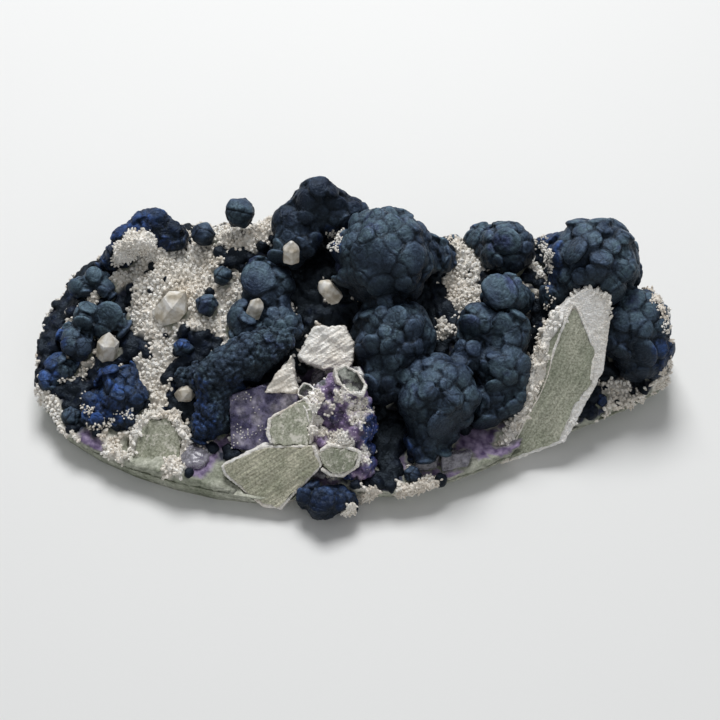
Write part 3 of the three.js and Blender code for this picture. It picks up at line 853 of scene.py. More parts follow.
def wireSow(group, grain, attribute, plan):
    # grains on the places where the attribute is 1, none closer than apart
    make, link = group.nodes.new, group.links.new
    incoming, outgoing = make("NodeGroupInput"), make("NodeGroupOutput")
    share = make("GeometryNodeInputNamedAttribute")
    share.data_type = "FLOAT"
    share.inputs["Name"].default_value = attribute
    points = make("GeometryNodeDistributePointsOnFaces")
    points.distribute_method = "POISSON"
    points.inputs["Distance Min"].default_value = plan["apart"]
    points.inputs["Density Max"].default_value = plan["density"]
    points.inputs["Seed"].default_value = plan["seed"]
    tilt = make("FunctionNodeRandomValue")
    tilt.data_type = "FLOAT_VECTOR"
    tilt.inputs[0].default_value = (-plan["tilt"], -plan["tilt"], -3.14)
    tilt.inputs[1].default_value = (plan["tilt"], plan["tilt"], 3.14)
    turn = make("FunctionNodeRotateRotation")
    turn.rotation_space = "LOCAL"
    size = make("FunctionNodeRandomValue")
    size.data_type = "FLOAT"
    size.inputs[2].default_value, size.inputs[3].default_value = plan["size"]
    source = make("GeometryNodeObjectInfo")
    source.inputs["Object"].default_value = grain
    stand = make("GeometryNodeInstanceOnPoints")
    real = make("GeometryNodeRealizeInstances")
    link(incoming.outputs[0], points.inputs["Mesh"])
    link(share.outputs["Attribute"], points.inputs["Density Factor"])
    link(points.outputs["Points"], stand.inputs["Points"])
    link(points.outputs["Rotation"], turn.inputs["Rotation"])
    link(tilt.outputs[0], turn.inputs["Rotate By"])
    link(turn.outputs[0], stand.inputs["Rotation"])
    link(size.outputs[1], stand.inputs["Scale"])
    link(source.outputs["Geometry"], stand.inputs["Instance"])
    link(stand.outputs["Instances"], real.inputs["Geometry"])
    link(real.outputs["Geometry"], outgoing.inputs[0])


def sow(name, ground, grain, attribute, plan, material):
    group = bpy.data.node_groups.new(name, "GeometryNodeTree")
    group.interface.new_socket("Ground", in_out="INPUT", socket_type="NodeSocketGeometry")
    group.interface.new_socket("Grains", in_out="OUTPUT", socket_type="NodeSocketGeometry")
    wireSow(group, grain, attribute, plan)
    piece = bpy.data.objects.new(name, ground.data.copy())
    scene.collection.objects.link(piece)
    piece.modifiers.new("sow", "NODES").node_group = group
    applyModifiers(piece)
    piece.data.materials.clear()
    piece.data.materials.append(material)
    for face in piece.data.polygons:
        face.material_index = 0
    return piece


def makeSeed(name, bm):
    seed = makePiece(name, bm)
    scene.collection.objects.unlink(seed)
    return seed


def crystalSeed(name, width, height, taper=0.85, tip=0.3):
    bm = bmesh.new()
    bmesh.ops.create_cone(
        bm, cap_ends=True, cap_tris=False, segments=6, radius1=width / 2,
        radius2=width / 2 * taper, depth=height * (1 - tip),
    )
    bmesh.ops.translate(bm, verts=bm.verts, vec=(0, 0, height * 0.1))
    top = max(bm.faces, key=lambda face: face.calc_center_median().z)
    bmesh.ops.poke(bm, faces=[top], offset=height * tip)
    return makeSeed(name, bm)


def roundSeed(name, width, height):
    # a stubby rounded grain
    bm = bmesh.new()
    bmesh.ops.create_uvsphere(bm, u_segments=5, v_segments=3, radius=width / 2)
    bmesh.ops.scale(bm, verts=bm.verts, vec=(1, 0.9, height / width))
    upper = [vert for vert in bm.verts if vert.co.z > 0]
    bmesh.ops.rotate(bm, verts=upper, cent=(0, 0, 0), matrix=Matrix.Rotation(0.5, 3, "Z"))
    bmesh.ops.translate(bm, verts=bm.verts, vec=(0, 0, height * 0.22))
    return makeSeed(name, bm)


def beadSeed(name):
    bm = bmesh.new()
    bmesh.ops.create_icosphere(bm, subdivisions=2, radius=1)
    bmesh.ops.scale(bm, verts=bm.verts, vec=(1, 0.95, 0.72))
    return makeSeed(name, bm)


pointedGrain = crystalSeed("pointedGrain", 1.25 * mm, 2.3 * mm)
stubGrain = roundSeed("stubGrain", 1.45 * mm, 2.0 * mm)
beadGrain = beadSeed("beadGrain")

pointedPlan = {"apart": 2.1 * mm, "density": 600000, "seed": 4, "tilt": 0.8, "size": (0.6, 1.1)}
stubPlan = {"apart": 0.98 * mm, "density": 2000000, "seed": 9, "tilt": 0.9, "size": (0.55, 1.15)}
sugarPlan = {"apart": 0.64 * mm, "density": 4000000, "seed": 5, "tilt": 0.9, "size": (0.35, 0.75)}
beadPlan = {"apart": 1.9 * mm, "density": 600000, "seed": 3, "tilt": 0.5, "size": (1.5 * mm, 2.9 * mm)}
beadSkin = {"voxel": 0.62 * mm, "rough": [("CLOUDS", 1.6 * mm, 1.1 * mm, 0.5)], "kept": 0.7}

pointed = sow("drusePoints", crust, pointedGrain, "druse", pointedPlan, paleDruse)
finishPiece(pointed, "quartz_druse", smooth=False)
stubs = sow("druseStubs", crust, stubGrain, "druse", stubPlan, whiteDruse)
finishPiece(stubs, "quartz_druse", smooth=False)

# where the photo's fluorite is royal blue
royalPatches = [
    (120, 232, 18, 24), (140, 226, 22, 12), (160, 246, 14, 12), (95, 372, 22, 20), (104, 412, 26, 16),
    (56, 340, 12, 26), (48, 372, 14, 20), (70, 300, 10, 12), (330, 242, 13, 22), (338, 308, 16, 10),
    (205, 425, 18, 28), (200, 396, 10, 22), (362, 436, 12, 42), (664, 356, 14, 26), (586, 408, 24, 18),
    (552, 262, 10, 34), (546, 232, 14, 12), (463, 216, 24, 8), (186, 340, 20, 10), (400, 452, 22, 14),
    (590, 360, 12, 30), (545, 360, 10, 24), (240, 385, 18, 8),
]
# where it lies in black shade, which is painted, and where white sugary grains sit on it
darkPatches = [
    (312, 200, 40, 30), (320, 508, 34, 20), (282, 214, 18, 12), (352, 198, 14, 14), (298, 262, 22, 30),
    (170, 228, 30, 12), (385, 425, 12, 60),
]
sugarPatches = [
    (88, 411, 9, 7), (110, 420, 9, 6), (98, 428, 12, 4), (76, 398, 8, 12), (64, 388, 7, 9),
    (334, 240, 9, 12), (548, 258, 5, 16), (549, 296, 4, 14), (541, 244, 8, 8), (656, 302, 7, 9),
    (664, 320, 4, 12), (128, 414, 8, 5),
]


def markPhoto(piece):
    # royal blue, painted shade in marked patches, sugar grains, and painted shade in the hollows
    photoMarks(piece, royal=royalPatches, dark=darkPatches)
    photoMarks(piece, 0.2, sugar=sugarPatches)
    markHollowShade(piece)


beads = sow("crustBeads", crust, beadGrain, "beads", beadPlan, royalFluorite)
dressSkin(beads, **beadSkin)
markPhoto(beads)
finishPiece(beads, "blue_fluorite")
print("crust sown")

# fluorite masses; seen holds the lobes that the photo shows, as u, v and radius in pixels,
# apart and lobe the distance and the radii of the others, and cells the size and depth of the dimples
grapeLook = {
    "material": navyFluorite, "voxel": 0.4 * mm, "kept": 0.65, "fillIn": 0.68, "sugared": False,
    "clouds": ("CLOUDS", 0.9 * mm, 0.3 * mm, 0.5),
}
grapes = {
    "fluorite_centre": {
        "piece": "crownGrapes", "sugared": True, "voxel": 0.5 * mm,
        "apart": 3.4 * mm, "lobe": (2.0 * mm, 3.4 * mm), "cells": (2.6 * mm, 0.2 * mm),
        "seen": [
            (370, 258, 22), (380, 285, 14), (414, 258, 17), (380, 229, 12), (393, 241, 14), (365, 236, 12),
            (347, 223, 9), (370, 223, 10), (393, 224, 12), (404, 234, 11), (376, 214, 9), (365, 209, 8),
            (392, 211, 8), (408, 216, 8), (423, 224, 12), (428, 236, 8), (419, 290, 12), (436, 285, 13),
            (332, 258, 15), (324, 308, 13), (369, 312, 12), (395, 318, 14), (415, 330, 13), (372, 345, 11),
            (442, 356, 12), (430, 376, 12), (415, 390, 9), (415, 402, 10), (433, 394, 8), (454, 395, 12),
            (443, 406, 12), (443, 425, 18), (463, 376, 13), (476, 411, 10), (494, 355, 9), (495, 388, 11),
            (481, 373, 5), (474, 348, 10), (401, 428, 7), (416, 424, 8), (486, 433, 16), (523, 307, 12),
            (470, 327, 14), (500, 325, 14), (320, 186, 13), (305, 200, 12), (338, 205, 10), (286, 212, 10),
        ],
    },
    "fluorite_dome": {
        "piece": "domeGrapes", "sugared": True, "voxel": 0.48 * mm,
        "apart": 3.8 * mm, "lobe": (2.2 * mm, 3.8 * mm), "cells": (2.8 * mm, 0.2 * mm),
        "seen": [
            (555, 227, 14), (574, 249, 18), (601, 256, 14), (582, 230, 12), (564, 276, 9), (581, 276, 10),
            (612, 246, 10), (622, 271, 14), (632, 267, 9), (612, 281, 14), (646, 282, 8), (630, 299, 16),
            (622, 322, 12), (650, 312, 12), (619, 353, 14), (642, 353, 20), (660, 348, 12),
        ],
    },
    "fluorite_loaf": {
        "piece": "wrinkledLoaf", "material": wrinkledFluorite, "fillIn": 0.85,
        "apart": 3.0 * mm, "lobe": (2.0 * mm, 2.8 * mm), "cells": (1.5 * mm, 0.9 * mm),
        "seen": [],
    },
    "fluorite_mid_left": {
        "piece": "midLeftGrapes", "voxel": 0.45 * mm,
        "apart": 3.4 * mm, "lobe": (1.8 * mm, 3.2 * mm), "cells": (2.4 * mm, 0.2 * mm),
        "seen": [(257, 278, 20), (263, 304, 7), (235, 319, 15)],
    },
    "fluorite_back_right": {
        "piece": "backRightGrapes", "voxel": 0.45 * mm,
        "apart": 3.6 * mm, "lobe": (2.0 * mm, 3.2 * mm), "cells": (2.0 * mm, 0.5 * mm),
        "seen": [(506, 241, 16), (482, 253, 5), (482, 218, 6), (495, 222, 6)],
    },
    "fluorite_right_ball": {
        "piece": "rightBallGrapes", "voxel": 0.45 * mm,
        "apart": 4.0 * mm, "lobe": (2.2 * mm, 3.2 * mm), "cells": (2.4 * mm, 0.5 * mm),
        "seen": [(500, 290, 20), (523, 307, 12)],
    },
    "fluorite_back_left": {
        "piece": "backLeftGrapes", "material": royalFluorite, "voxel": 0.45 * mm,
        "apart": 3.0 * mm, "lobe": (1.6 * mm, 2.8 * mm), "cells": (1.7 * mm, 0.6 * mm),
        "seen": [(159, 220, 13), (173, 227, 10), (192, 232, 8), (133, 209, 9), (147, 227, 7)],
    },
    "fluorite_left_upper": {
        "piece": "leftUpperGrapes",
        "apart": 4.0 * mm, "lobe": (1.8 * mm, 3.0 * mm), "cells": (2.4 * mm, 0.2 * mm),
        "seen": [(94, 274, 10), (73, 286, 9), (109, 284, 9)],
    },
    "fluorite_left_middle": {
        "piece": "leftMiddleGrapes",
        "apart": 4.2 * mm, "lobe": (1.8 * mm, 3.0 * mm), "cells": (2.6 * mm, 0.2 * mm),
        "seen": [(90, 307, 12), (108, 316, 16), (82, 324, 11), (70, 334, 12), (134, 335, 14), (64, 310, 7)],
    },
    "fluorite_left_rim": {
        "piece": "leftRimGrapes", "sugared": True,
        "apart": 3.4 * mm, "lobe": (1.6 * mm, 2.6 * mm), "cells": (2.0 * mm, 0.4 * mm),
        "seen": [(54, 360, 14), (44, 376, 8), (54, 392, 6)],
    },
    "fluorite_lower_left": {
        "piece": "lowerLeftGrapes", "material": royalFluorite, "sugared": True,
        "apart": 3.0 * mm, "lobe": (1.6 * mm, 2.6 * mm), "cells": (1.6 * mm, 0.6 * mm),
        "seen": [
            (109, 366, 10), (107, 386, 8), (87, 391, 9), (87, 404, 8), (107, 402, 7), (121, 406, 7),
            (92, 373, 7), (71, 420, 10), (89, 425, 8),
        ],
    },
    "fluorite_low_right": {
        "piece": "lowRightGrapes", "material": royalFluorite,
        "apart": 3.0 * mm, "lobe": (1.4 * mm, 2.2 * mm), "cells": (1.6 * mm, 0.5 * mm),
        "seen": [(586, 410, 8)],
    },
    "fluorite_bottom": {
        "piece": "bottomGrapes", "material": royalFluorite, "fillIn": 1.3,
        "apart": 4.4 * mm, "lobe": (2.6 * mm, 3.6 * mm), "cells": (2.2 * mm, 0.9 * mm),
        "seen": [(322, 500, 15), (304, 497, 10), (338, 502, 10)],
    },
}
# seenIn and fillIn are the shares of a lobe's height that lie under the surface
lobeShape = {
    "flat": 0.33,
    "wide": 1.18,
    "seenIn": 0.42,
    "sink": 0.4 * mm,
    "buried": 0.7 * mm,
    "creaseWidth": 0.1,
    "crease": 0.35 * mm,
}


def markLobes(piece, lobes):
    # how far each place is from the middle of its lobe, and how near to the crease beside it,
    # which is pressed in
    near = KDTree(len(lobes))
    for i, (middle, _, _) in enumerate(lobes):
        near.insert(middle, i)
    near.balance()
    away, edge = [], []
    for vert in piece.data.vertices:
        found = near.find_n(vert.co, 5)
        reach = sorted(distance / lobes[i][2] for _, i, distance in found)
        away.append(found[0][2] / mm)
        edge.append(reach[1] - reach[0] if len(reach) > 1 else 1.0)
    press = np.clip(1 - np.array(edge) / lobeShape["creaseWidth"], 0, 1) * lobeShape["crease"]
    writeSpots(piece, readVectors(piece, "co") - readVectors(piece, "normal") * press[:, None])
    addMark(piece, "fromLobe", away)
    addMark(piece, "edge", edge)


def growGrapes(node, look, number):
    random.seed(number)
    bm = copyOf(node)
    ground = treeOf("quartz_crust")
    lobes = [(*photoSpot(u, v, node), r * photoView["pixel"]) for u, v, r in look["seen"]]
    seen = len(lobes)
    for spot, normal in spotsOver(bm, look["apart"], 4000):
        buried = ground.find_nearest(spot)[3] < lobeShape["buried"]
        if not buried and all((spot - other).length > radius for other, _, radius in lobes[:seen]):
            lobes.append((spot, normal, random.uniform(*look["lobe"]) * lobeShape["wide"]))
    for vert in bm.verts:
        vert.co -= vert.normal * lobeShape["sink"]
    placed = []
    for i, (spot, normal, radius) in enumerate(lobes):
        share = lobeShape["seenIn"] if i < seen else look["fillIn"]
        placed.append((spot - normal * radius * lobeShape["flat"] * share, normal, radius))
    addLobes(bm, placed, lobeShape["flat"])
    piece = makePiece(look["piece"], bm, look["material"])
    size, depth = look["cells"]
    dressSkin(piece, look["voxel"], rough=[("VORONOI", size, -depth, 0.25), look["clouds"]], kept=look["kept"])
    markLobes(piece, placed)
    markPhoto(piece)
    finishPiece(piece, "blue_fluorite", node)
    if look["sugared"]:
        sugar = sow(look["piece"] + "Sugar", piece, stubGrain, "sugar", sugarPlan, whiteDruse)
        finishPiece(sugar, "quartz_druse", smooth=False)


for number, (node, look) in enumerate(grapes.items()):
    growGrapes(node, {**grapeLook, **look}, number)

# single balls, smoother and slightly faceted around a few middles
ballLook = {
    "skin": {"voxel": 0.36 * mm, "relax": 4, "rough": [("VORONOI", 3.4 * mm, -0.7 * mm, 0.25)]},
    "facets": 6,
    "spread": 3 * mm,
}
ballNodes = [name for name in sorted(cad) if name.startswith("fluorite_ball_")]


def makeBalls():
    for node in ballNodes:
        piece = makePiece("ball" + node.split("_")[-1], copyOf(node), navyFluorite)
        dressSkin(piece, **ballLook["skin"])
        low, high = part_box(node)
        spread = ballLook["spread"]
        middles = [(low + high) / 2 + noise.random_unit_vector() * spread for _ in range(ballLook["facets"])]
        markLobes(piece, [(middle, None, spread) for middle in middles])
        markPhoto(piece)
        finishPiece(piece, "blue_fluorite", node)


makeBalls()

# tiny beads that stand on the white druse, as u, v and radius in pixels
tinyBeads = [
    (153, 267, 5), (148, 274, 4), (166, 280, 4), (151, 291, 4), (121, 261, 4), (186, 332, 8), (200, 335, 5),
    (262, 246, 7), (273, 239, 6), (208, 303, 9), (222, 274, 8), (178, 352, 6), (165, 336, 4), (250, 258, 6),
    (236, 251, 4), (243, 268, 5), (226, 246, 3), (256, 262, 5), (450, 233, 8), (443, 250, 9), (377, 485, 8),
    (146, 405, 6), (139, 398, 5), (170, 386, 4), (163, 411, 5), (132, 415, 5), (470, 272, 4), (486, 262, 4),
    (458, 252, 3), (540, 286, 4), (604, 388, 4), (617, 404, 4), (632, 392, 4), (575, 398, 7), (590, 416, 6),
]
tinyLook = {
    "out": 0.35,
    "round": 0.9,
    "skin": {"voxel": 0.34 * mm, "rough": [("VORONOI", 1.5 * mm, -0.45 * mm, 0.25)], "kept": 0.5},
}


def makeTinyBeads():
    random.seed(21)
    bm = bmesh.new()
    lobes = []
    for u, v, r in tinyBeads:
        spot, normal = photoSpot(u, v, "quartz_crust")
        radius = r * photoView["pixel"]
        lobes.append((spot + normal * radius * tinyLook["out"], normal, radius))
    addLobes(bm, lobes, tinyLook["round"])
    piece = makePiece("tinyBeads", bm, royalFluorite)
    dressSkin(piece, **tinyLook["skin"])
    markPhoto(piece)
    finishPiece(piece, "blue_fluorite")


makeTinyBeads()
print("fluorite grown")


def wornCopy(node, width):
    # the same crystal with its edges worn
    bm = copyOf(node)
    bmesh.ops.dissolve_limit(bm, angle_limit=math.radians(4), verts=bm.verts, edges=bm.edges)
    sharp = [edge for edge in bm.edges if len(edge.link_faces) == 2 and edge.calc_face_angle() > 0.35]
    bmesh.ops.bevel(
        bm, geom=sharp, offset=width, segments=2, profile=0.5, affect="EDGES", material=-1, clamp_overlap=True,
    )
    bmesh.ops.triangulate(bm, faces=bm.faces)
    return bm


crystalLooks = {
    "quartz_crystal_1": (milkyQuartz, 0.6 * mm, 34.0),
    "quartz_crystal_2": (milkyQuartz, 0.6 * mm, 24.0),
    "quartz_crystal_3": (milkyQuartz, 0.5 * mm, 30.0),
    "quartz_crystal_4": (milkyQuartz, 0.4 * mm, 0.0),
    "quartz_crystal_5": (milkyQuartz, 0.4 * mm, -8.0),
    "quartz_crystal_6": (milkyQuartz, 0.4 * mm, -26.0),
    "quartz_crystal_7": (clearQuartz, 0.3 * mm, 0.0),
}


def makeCrystals():
    for node, (material, width, lean) in crystalLooks.items():
        bm = wornCopy(node, width)
        low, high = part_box(node)
        foot = Vector(((low.x + high.x) / 2, (low.y + high.y) / 2, low.z * 0.6 + high.z * 0.4))
        turn = Matrix.Rotation(math.radians(-lean), 3, fromCamera.to_3x3().col[2])
        bmesh.ops.rotate(bm, verts=bm.verts, cent=foot, matrix=turn)
        piece = makePiece("clearPoint" + node[-1], bm, material)
        finishPiece(piece, "clear_quartz", node, smooth=False)


makeCrystals()

# the fan and the wedge are white and ridged from their lower left
fanLook = {
    "pieces": {"quartz_fan": "whiteFan", "quartz_wedge": "whiteWedge"},
    "voxel": 0.4 * mm,
    "ridge": 0.5 * mm,
    "pitch": 1.1 * mm,
    "along": (0.8, 0.4, 0.42),
    "rag": 0.7 * mm,
    "ragSize": 4 * mm,
}


def makeFan():
    along = Vector(fanLook["along"]).normalized()
    for node, name in fanLook["pieces"].items():
        piece = makePiece(name, copyOf(node), whiteDruse)
        dressSkin(piece, fanLook["voxel"])
        bm = bmesh.new()
        bm.from_mesh(piece.data)
        for vert in bm.verts:
            across = vert.co - along * vert.co.dot(along) * 0.88
            rag = noise.fractal(vert.co / fanLook["ragSize"], 0.9, 2, 3) * fanLook["rag"]
            ridge = noise.fractal(across / fanLook["pitch"], 0.9, 2, 4) * fanLook["ridge"]
            vert.co += vert.normal * (ridge + rag)
        bm.to_mesh(piece.data)
        bm.free()
        finishPiece(piece, "clear_quartz", node)


makeFan()

# see-through purple pieces, and white specks in bands on the block
blockLook = {
    "pieces": {
        "purple_block": ("purpleBlock", purpleFluorite),
        "glassy_slab_1": ("glassySlab1", greyFluorite),
        "glassy_slab_2": ("glassySlab2", greyFluorite),
    },
    "skin": {"voxel": 0.45 * mm, "relax": 2, "rough": [("CLOUDS", 2.5 * mm, 0.5 * mm, 0.5)]},
    "specks": [
        (245, 434, 16, 5), (262, 428, 8, 5), (238, 428, 6, 3), (240, 397, 20, 4), (255, 410, 5, 3),
        (233, 442, 6, 3),
    ],
    "plan": {"apart": 0.9 * mm, "density": 2000000, "seed": 2, "tilt": 1.2, "size": (0.2, 0.45)},
}


def makePurple():
    for node, (name, material) in blockLook["pieces"].items():
        piece = makePiece(name, copyOf(node), material)
        dressSkin(piece, **blockLook["skin"])
        finishPiece(piece, "purple_fluorite", node)
        if node == "purple_block":
            photoMarks(piece, 0.3, specks=blockLook["specks"])
            specks = sow("blockSpecks", piece, stubGrain, "specks", blockLook["plan"], whiteDruse)
            finishPiece(specks, "quartz_druse", smooth=False)


ridgeLook = {
    "apart": 2.6 * mm,
    "lobe": (1.4 * mm, 2.4 * mm),
    "round": 0.8,
    "sink": 0.5 * mm,
    "skin": {"voxel": 0.42 * mm, "rough": [("VORONOI", 1.1 * mm, -0.45 * mm, 0.25)], "kept": 0.75},
    "marks": {
        "white": [
            (358, 412, 13, 17), (344, 395, 10, 9), (330, 407, 6, 7), (316, 400, 9, 14), (324, 370, 9, 6),
            (366, 455, 6, 12), (340, 440, 16, 11), (304, 436, 12, 8), (312, 425, 8, 10),
        ],
        "royal": [(371, 436, 10, 44), (302, 366, 9, 12), (352, 352, 8, 10), (345, 482, 14, 12)],
        "grey": [(318, 378, 11, 12), (314, 480, 14, 14)],
    },
}


def makeRidge():
    random.seed(77)
    bm = copyOf("purple_ridge")
    lobes = [
        (spot - normal * mm, normal, random.uniform(*ridgeLook["lobe"]))
        for spot, normal in spotsOver(bm, ridgeLook["apart"], 3000)
    ]
    for vert in bm.verts:
        vert.co -= vert.normal * ridgeLook["sink"]
    addLobes(bm, lobes, ridgeLook["round"])
    piece = makePiece("sugaryRidge", bm, purpleSugar)
    dressSkin(piece, **ridgeLook["skin"])
    photoMarks(piece, **ridgeLook["marks"])
    finishPiece(piece, "purple_fluorite", "purple_ridge")
    sugar = sow("ridgeSugar", piece, stubGrain, "white", sugarPlan, whiteDruse)
    finishPiece(sugar, "quartz_druse", smooth=False)


makePurple()
makeRidge()

# lumps that the photo shows on other pieces, as u, v and radius in pixels
lumps = {
    "snowDome": (whiteDruse, "quartz_druse", ("fluorite_back_left", "quartz_crust"), [
        (138, 246, 18), (126, 251, 12), (151, 252, 12), (133, 240, 10), (145, 241, 11), (160, 260, 7),
        (117, 259, 7),
    ]),
    "frontCap": (whiteDruse, "quartz_druse", ("purple_ridge", "small_sawn_rim", "upper_sawn_rim"), [
        (340, 438, 8), (330, 442, 5), (351, 443, 6), (322, 432, 6), (318, 420, 6), (314, 408, 5), (320, 400, 4),
        (312, 430, 5),
    ]),
    "frontDruse": (paleDruse, "quartz_druse", ("quartz_crust", "matrix_slab", "fluorite_bottom"), [
        (349, 509, 8), (358, 503, 9), (366, 496, 9), (357, 513, 6), (373, 491, 7), (344, 515, 5), (399, 493, 6),
        (408, 490, 8), (419, 487, 8), (429, 483, 7), (437, 480, 5), (284, 510, 4), (294, 512, 4), (274, 507, 3),
    ]),
    "rightEdge": (paleDruse, "quartz_druse", ("fluorite_dome", "quartz_crust"), [
        (648, 290, 5), (655, 299, 6), (661, 308, 5), (665, 318, 4), (668, 330, 4), (671, 342, 4), (674, 354, 4),
        (676, 366, 4), (672, 377, 5), (663, 385, 5), (653, 392, 4), (642, 399, 4), (631, 405, 4), (620, 411, 4),
        (609, 418, 3), (599, 424, 3),
    ]),
    "greyLumps": (greyFluorite, "purple_fluorite", ("purple_ridge", "fluorite_bottom", "quartz_crust"), [
        (312, 470, 8), (322, 471, 8), (332, 476, 6), (195, 458, 13), (206, 450, 8), (190, 448, 7),
        (318, 376, 8), (312, 386, 6),
    ]),
}
lumpLook = {
    "grow": 1.1,
    "flat": 0.42,
    "skin": {"voxel": 0.42 * mm, "rough": [("CLOUDS", 0.8 * mm, 0.9 * mm, 0.5)]},
    "plan": {"apart": 0.85 * mm, "density": 3000000, "seed": 8, "tilt": 0.9, "size": (0.3, 0.8)},
}


def makeLumps():
    for name, (material, slot, grounds, places) in lumps.items():
        random.seed(name)
        lobes = []
        for u, v, r in places:
            spot, normal = photoSpot(u, v, *grounds)
            lobes.append((spot, normal, r * photoView["pixel"] * lumpLook["grow"]))
        bm = bmesh.new()
        addLobes(bm, lobes, lumpLook["flat"])
        piece = makePiece(name, bm, material)
        dressSkin(piece, **lumpLook["skin"])
        finishPiece(piece, slot)
        if slot == "quartz_druse":
            addMark(piece, "all", [1.0] * len(piece.data.vertices))
            grains = sow(name + "Grains", piece, pointedGrain, "all", lumpLook["plan"], material)
            finishPiece(grains, slot, smooth=False)


# dark glassy crystals cut across, with white edges, as u, v, half length, half width and slant in the picture
eyes = {
    "glassEye": (350, 381, 21, 12, -42.0),
    "smallEye": (306, 391, 9, 8, 20.0),
}
eyeLook = {
    "height": 2.2 * mm,
    "out": 0.2 * mm,
    "rim": (0.13, 0.06, -0.14),  # width, width of its slope and depth
    "rag": 0.35 * mm,
    "ragSize": 1.3 * mm,
}


def makeEyes():
    width, bevel, depth = eyeLook["rim"]
    for name, (u, v, long, wide, slant) in eyes.items():
        random.seed(name)
        spot, normal = photoSpot(u, v, "purple_ridge", "quartz_fan")
        facing = (normal + (fromCamera.translation - spot).normalized() * 1.5).normalized()
        aside = facing.cross(alongPicture(slant)).normalized()
        along = aside.cross(facing)
        size = photoView["pixel"]
        sides = (along * long * size, aside * wide * size, facing * eyeLook["height"])
        place = Matrix(sides).transposed().to_4x4()
        bm = bmesh.new()
        bmesh.ops.create_cone(bm, cap_ends=True, segments=7, radius1=1, radius2=0.94, depth=1.4)
        top = max(bm.faces, key=lambda face: face.calc_center_median().z)
        bmesh.ops.inset_region(bm, faces=[top], thickness=width, depth=0)
        bmesh.ops.inset_region(bm, faces=[top], thickness=bevel, depth=depth)
        top.material_index = 1
        bmesh.ops.subdivide_edges(bm, edges=bm.edges, cuts=4, use_grid_fill=True)
        bmesh.ops.triangulate(bm, faces=bm.faces)
        place = Matrix.Translation(spot + facing * eyeLook["out"]) @ place
        bmesh.ops.transform(bm, verts=bm.verts, matrix=place)
        for vert in bm.verts:
            vert.co += noise.noise_vector(vert.co / eyeLook["ragSize"]) * eyeLook["rag"]
        finishPiece(makePiece(name, bm, whiteDruse, smokyQuartz), "clear_quartz", smooth=False)


makeLumps()
makeEyes()

# sawn faces: the cores are widened over their rims, which are left as thin uneven lines
coreWidths = {
    "front_sawn_core": ("frontCore", sawnCore, 0.6 * mm),
    "upper_sawn_core": ("upperCore", veinedCore, 0.4 * mm),
    "small_sawn_core": ("smallCore", veinedCore, 0.3 * mm),
    "ringed_core": ("ringedCore", veinedCore, 0.2 * mm),
    "blade_core": ("bladeCore", bladeRock, 0.6 * mm),
}
coreShape = {"cuts": 9, "rag": 0.8 * mm, "ragSize": 2.2 * mm, "out": 0.12 * mm}


def makeCores():
    for node, (name, material, widen) in coreWidths.items():
        way = sawnFace(node)[1]
        bm = copyOf(node)
        bmesh.ops.dissolve_limit(bm, angle_limit=math.radians(2), verts=bm.verts, edges=bm.edges)
        bmesh.ops.subdivide_edges(bm, edges=bm.edges, cuts=coreShape["cuts"])
        bmesh.ops.triangulate(bm, faces=bm.faces)
        bm.normal_update()
        for vert in bm.verts:
            side = vert.normal - way * vert.normal.dot(way)
            if side.length > 0.3:
                rag = coreShape["rag"] * noise.fractal(vert.co / coreShape["ragSize"], 1, 2, 3)
                vert.co += side.normalized() * (widen + rag)
            vert.co += way * coreShape["out"]
        finishPiece(makePiece(name, bm, material), "sawn_rock", node, smooth=False)


rims = {
    "front_sawn_core": ("frontRim", whiteDruse, "quartz_rim"),
    "upper_sawn_core": ("upperRim", whiteDruse, "quartz_rim"),
    "small_sawn_core": ("smallRim", whiteDruse, "quartz_rim"),
    "ringed_core": ("ringedRim", whiteDruse, "quartz_druse"),
    "blade_core": ("bladeRind", rindQuartz, "quartz_druse"),
}
rimLook = {
    "lower": 0.1 * mm,
    "skin": {
        "voxel": 0.42 * mm, "kept": 0.7,
        "rough": [("CLOUDS", 1.1 * mm, 0.5 * mm, 0.5), ("CLOUDS", 3 * mm, 0.8 * mm, 0.6)],
    },
    # where the rinds are granular
    "fuzz": [
        (535, 352, 17, 24), (524, 386, 20, 26), (514, 416, 22, 24), (500, 445, 24, 22), (552, 315, 15, 16),
        (570, 290, 16, 9), (600, 288, 16, 9), (612, 310, 6, 16), (576, 436, 10, 18), (150, 424, 40, 16),
        (128, 440, 12, 24), (182, 440, 12, 20),
    ],
    "plan": {"apart": 0.95 * mm, "density": 2500000, "seed": 6, "tilt": 1.0, "size": (0.45, 1.4)},
}


def makeRims():
    for core, (name, material, slot) in rims.items():
        node, way = sawnPairs[core], sawnFace(core)[1]
        bm = copyOf(node)
        for vert in bm.verts:
            if vert.normal.dot(way) > 0.6:
                vert.co -= way * rimLook["lower"]
        piece = makePiece(name, bm, material)
        dressSkin(piece, **rimLook["skin"])
        if slot == "quartz_druse":
            photoMarks(piece, 0.3, fuzz=rimLook["fuzz"])
            fuzz = sow(name + "Fuzz", piece, pointedGrain, "fuzz", rimLook["plan"], whiteDruse)
            finishPiece(fuzz, slot, smooth=False)
        finishPiece(piece, slot, node)


# white lines at the edges of the cores, as rim, core, radius and places in pixels
seams = {
    "bladeSeam": ("blade_rim", "blade_core", 0.55 * mm, [
        (547, 378), (550, 366), (554, 350), (560, 334), (566, 319), (574, 303), (580, 314), (585, 326),
        (590, 338), (593, 350), (593, 366), (591, 380),
    ]),
    "bladeSide": ("blade_rim", "blade_core", 0.4 * mm, [
        (549, 372), (543, 388), (537, 400), (530, 411), (523, 425), (515, 442),
    ]),
    "upperSeam": ("upper_sawn_rim", "upper_sawn_core", 0.35 * mm, [
        (303, 404), (307, 412), (309, 422), (313, 432), (315, 440),
    ]),
}
seamSkin = {"voxel": 0.3 * mm, "rough": [("CLOUDS", 0.9 * mm, 0.4 * mm, 0.5)]}


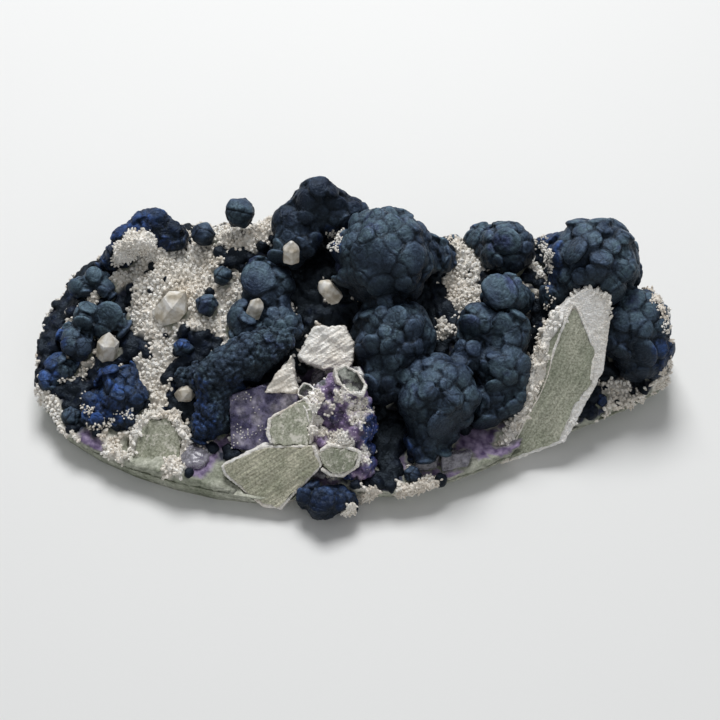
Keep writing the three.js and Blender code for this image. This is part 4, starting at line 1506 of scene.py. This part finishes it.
def makeSeams():
    for name, (rim, core, width, places) in seams.items():
        line = bpy.data.curves.new(name, "CURVE")
        line.dimensions = "3D"
        line.bevel_depth = width
        line.bevel_resolution = 1
        line.use_fill_caps = True
        path = line.splines.new("POLY")
        path.points.add(len(places) - 1)
        for point, (u, v) in zip(path.points, places):
            point.co = (*photoSpot(u, v, rim, core)[0], 1)
            point.radius = random.uniform(0.7, 1.2)
        drawn = bpy.data.objects.new(name + "Path", line)
        scene.collection.objects.link(drawn)
        bm = bmesh.new()
        bm.from_mesh(bpy.data.meshes.new_from_object(drawn))
        bpy.data.objects.remove(drawn)
        piece = makePiece(name, bm, whiteDruse)
        dressSkin(piece, **seamSkin)
        finishPiece(piece, "quartz_rim")


makeCores()
makeRims()
makeSeams()
print("sawn faces dressed")

studio = {
    "floor": (0.82, 0.825, 0.82),
    "world": (0.96, 0.98, 1.0),
    "worldStrength": 0.25,
    "lamps": [
        ("overhead", (-0.05, 0.5, 0.9), 0.42, 9.0),
        ("frontSoft", (0.35, -0.7, 0.7), 0.6, 1.0),
    ],
}


def setUpStudio():
    bm = bmesh.new()
    bmesh.ops.create_grid(bm, x_segments=1, y_segments=1, size=2)
    material, tree, place = startMaterial("paleFloor", 0.8, 1.45)
    dim = tuple(c * 0.97 for c in studio["floor"])
    tone = noiseRamp(tree, place, (2.0, 2), [(0.3, dim), (0.7, studio["floor"])])
    tree.links.new(tone, tree.nodes["Principled BSDF"].inputs["Base Color"])
    makePiece("floor", bm, material)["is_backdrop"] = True
    world = bpy.data.worlds.new("studio")
    scene.world = world
    world.use_nodes = True
    ground = world.node_tree.nodes["Background"]
    ground.inputs["Color"].default_value = (*studio["world"], 1)
    ground.inputs["Strength"].default_value = studio["worldStrength"]
    for name, place, size, power in studio["lamps"]:
        lamp = bpy.data.lights.new(name, "AREA")
        lamp.size = size
        lamp.energy = power
        stand = bpy.data.objects.new(name, lamp)
        scene.collection.objects.link(stand)
        aim = Vector(place) - Vector(photoView["lookAt"])
        stand.matrix_world = Matrix.Translation(place) @ aim.to_track_quat("Z", "Y").to_matrix().to_4x4()
    scene.view_settings.view_transform = "Standard"


setUpStudio()
total = sum(len(piece.data.polygons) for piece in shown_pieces())
print("studio ready,", total, "faces in all")
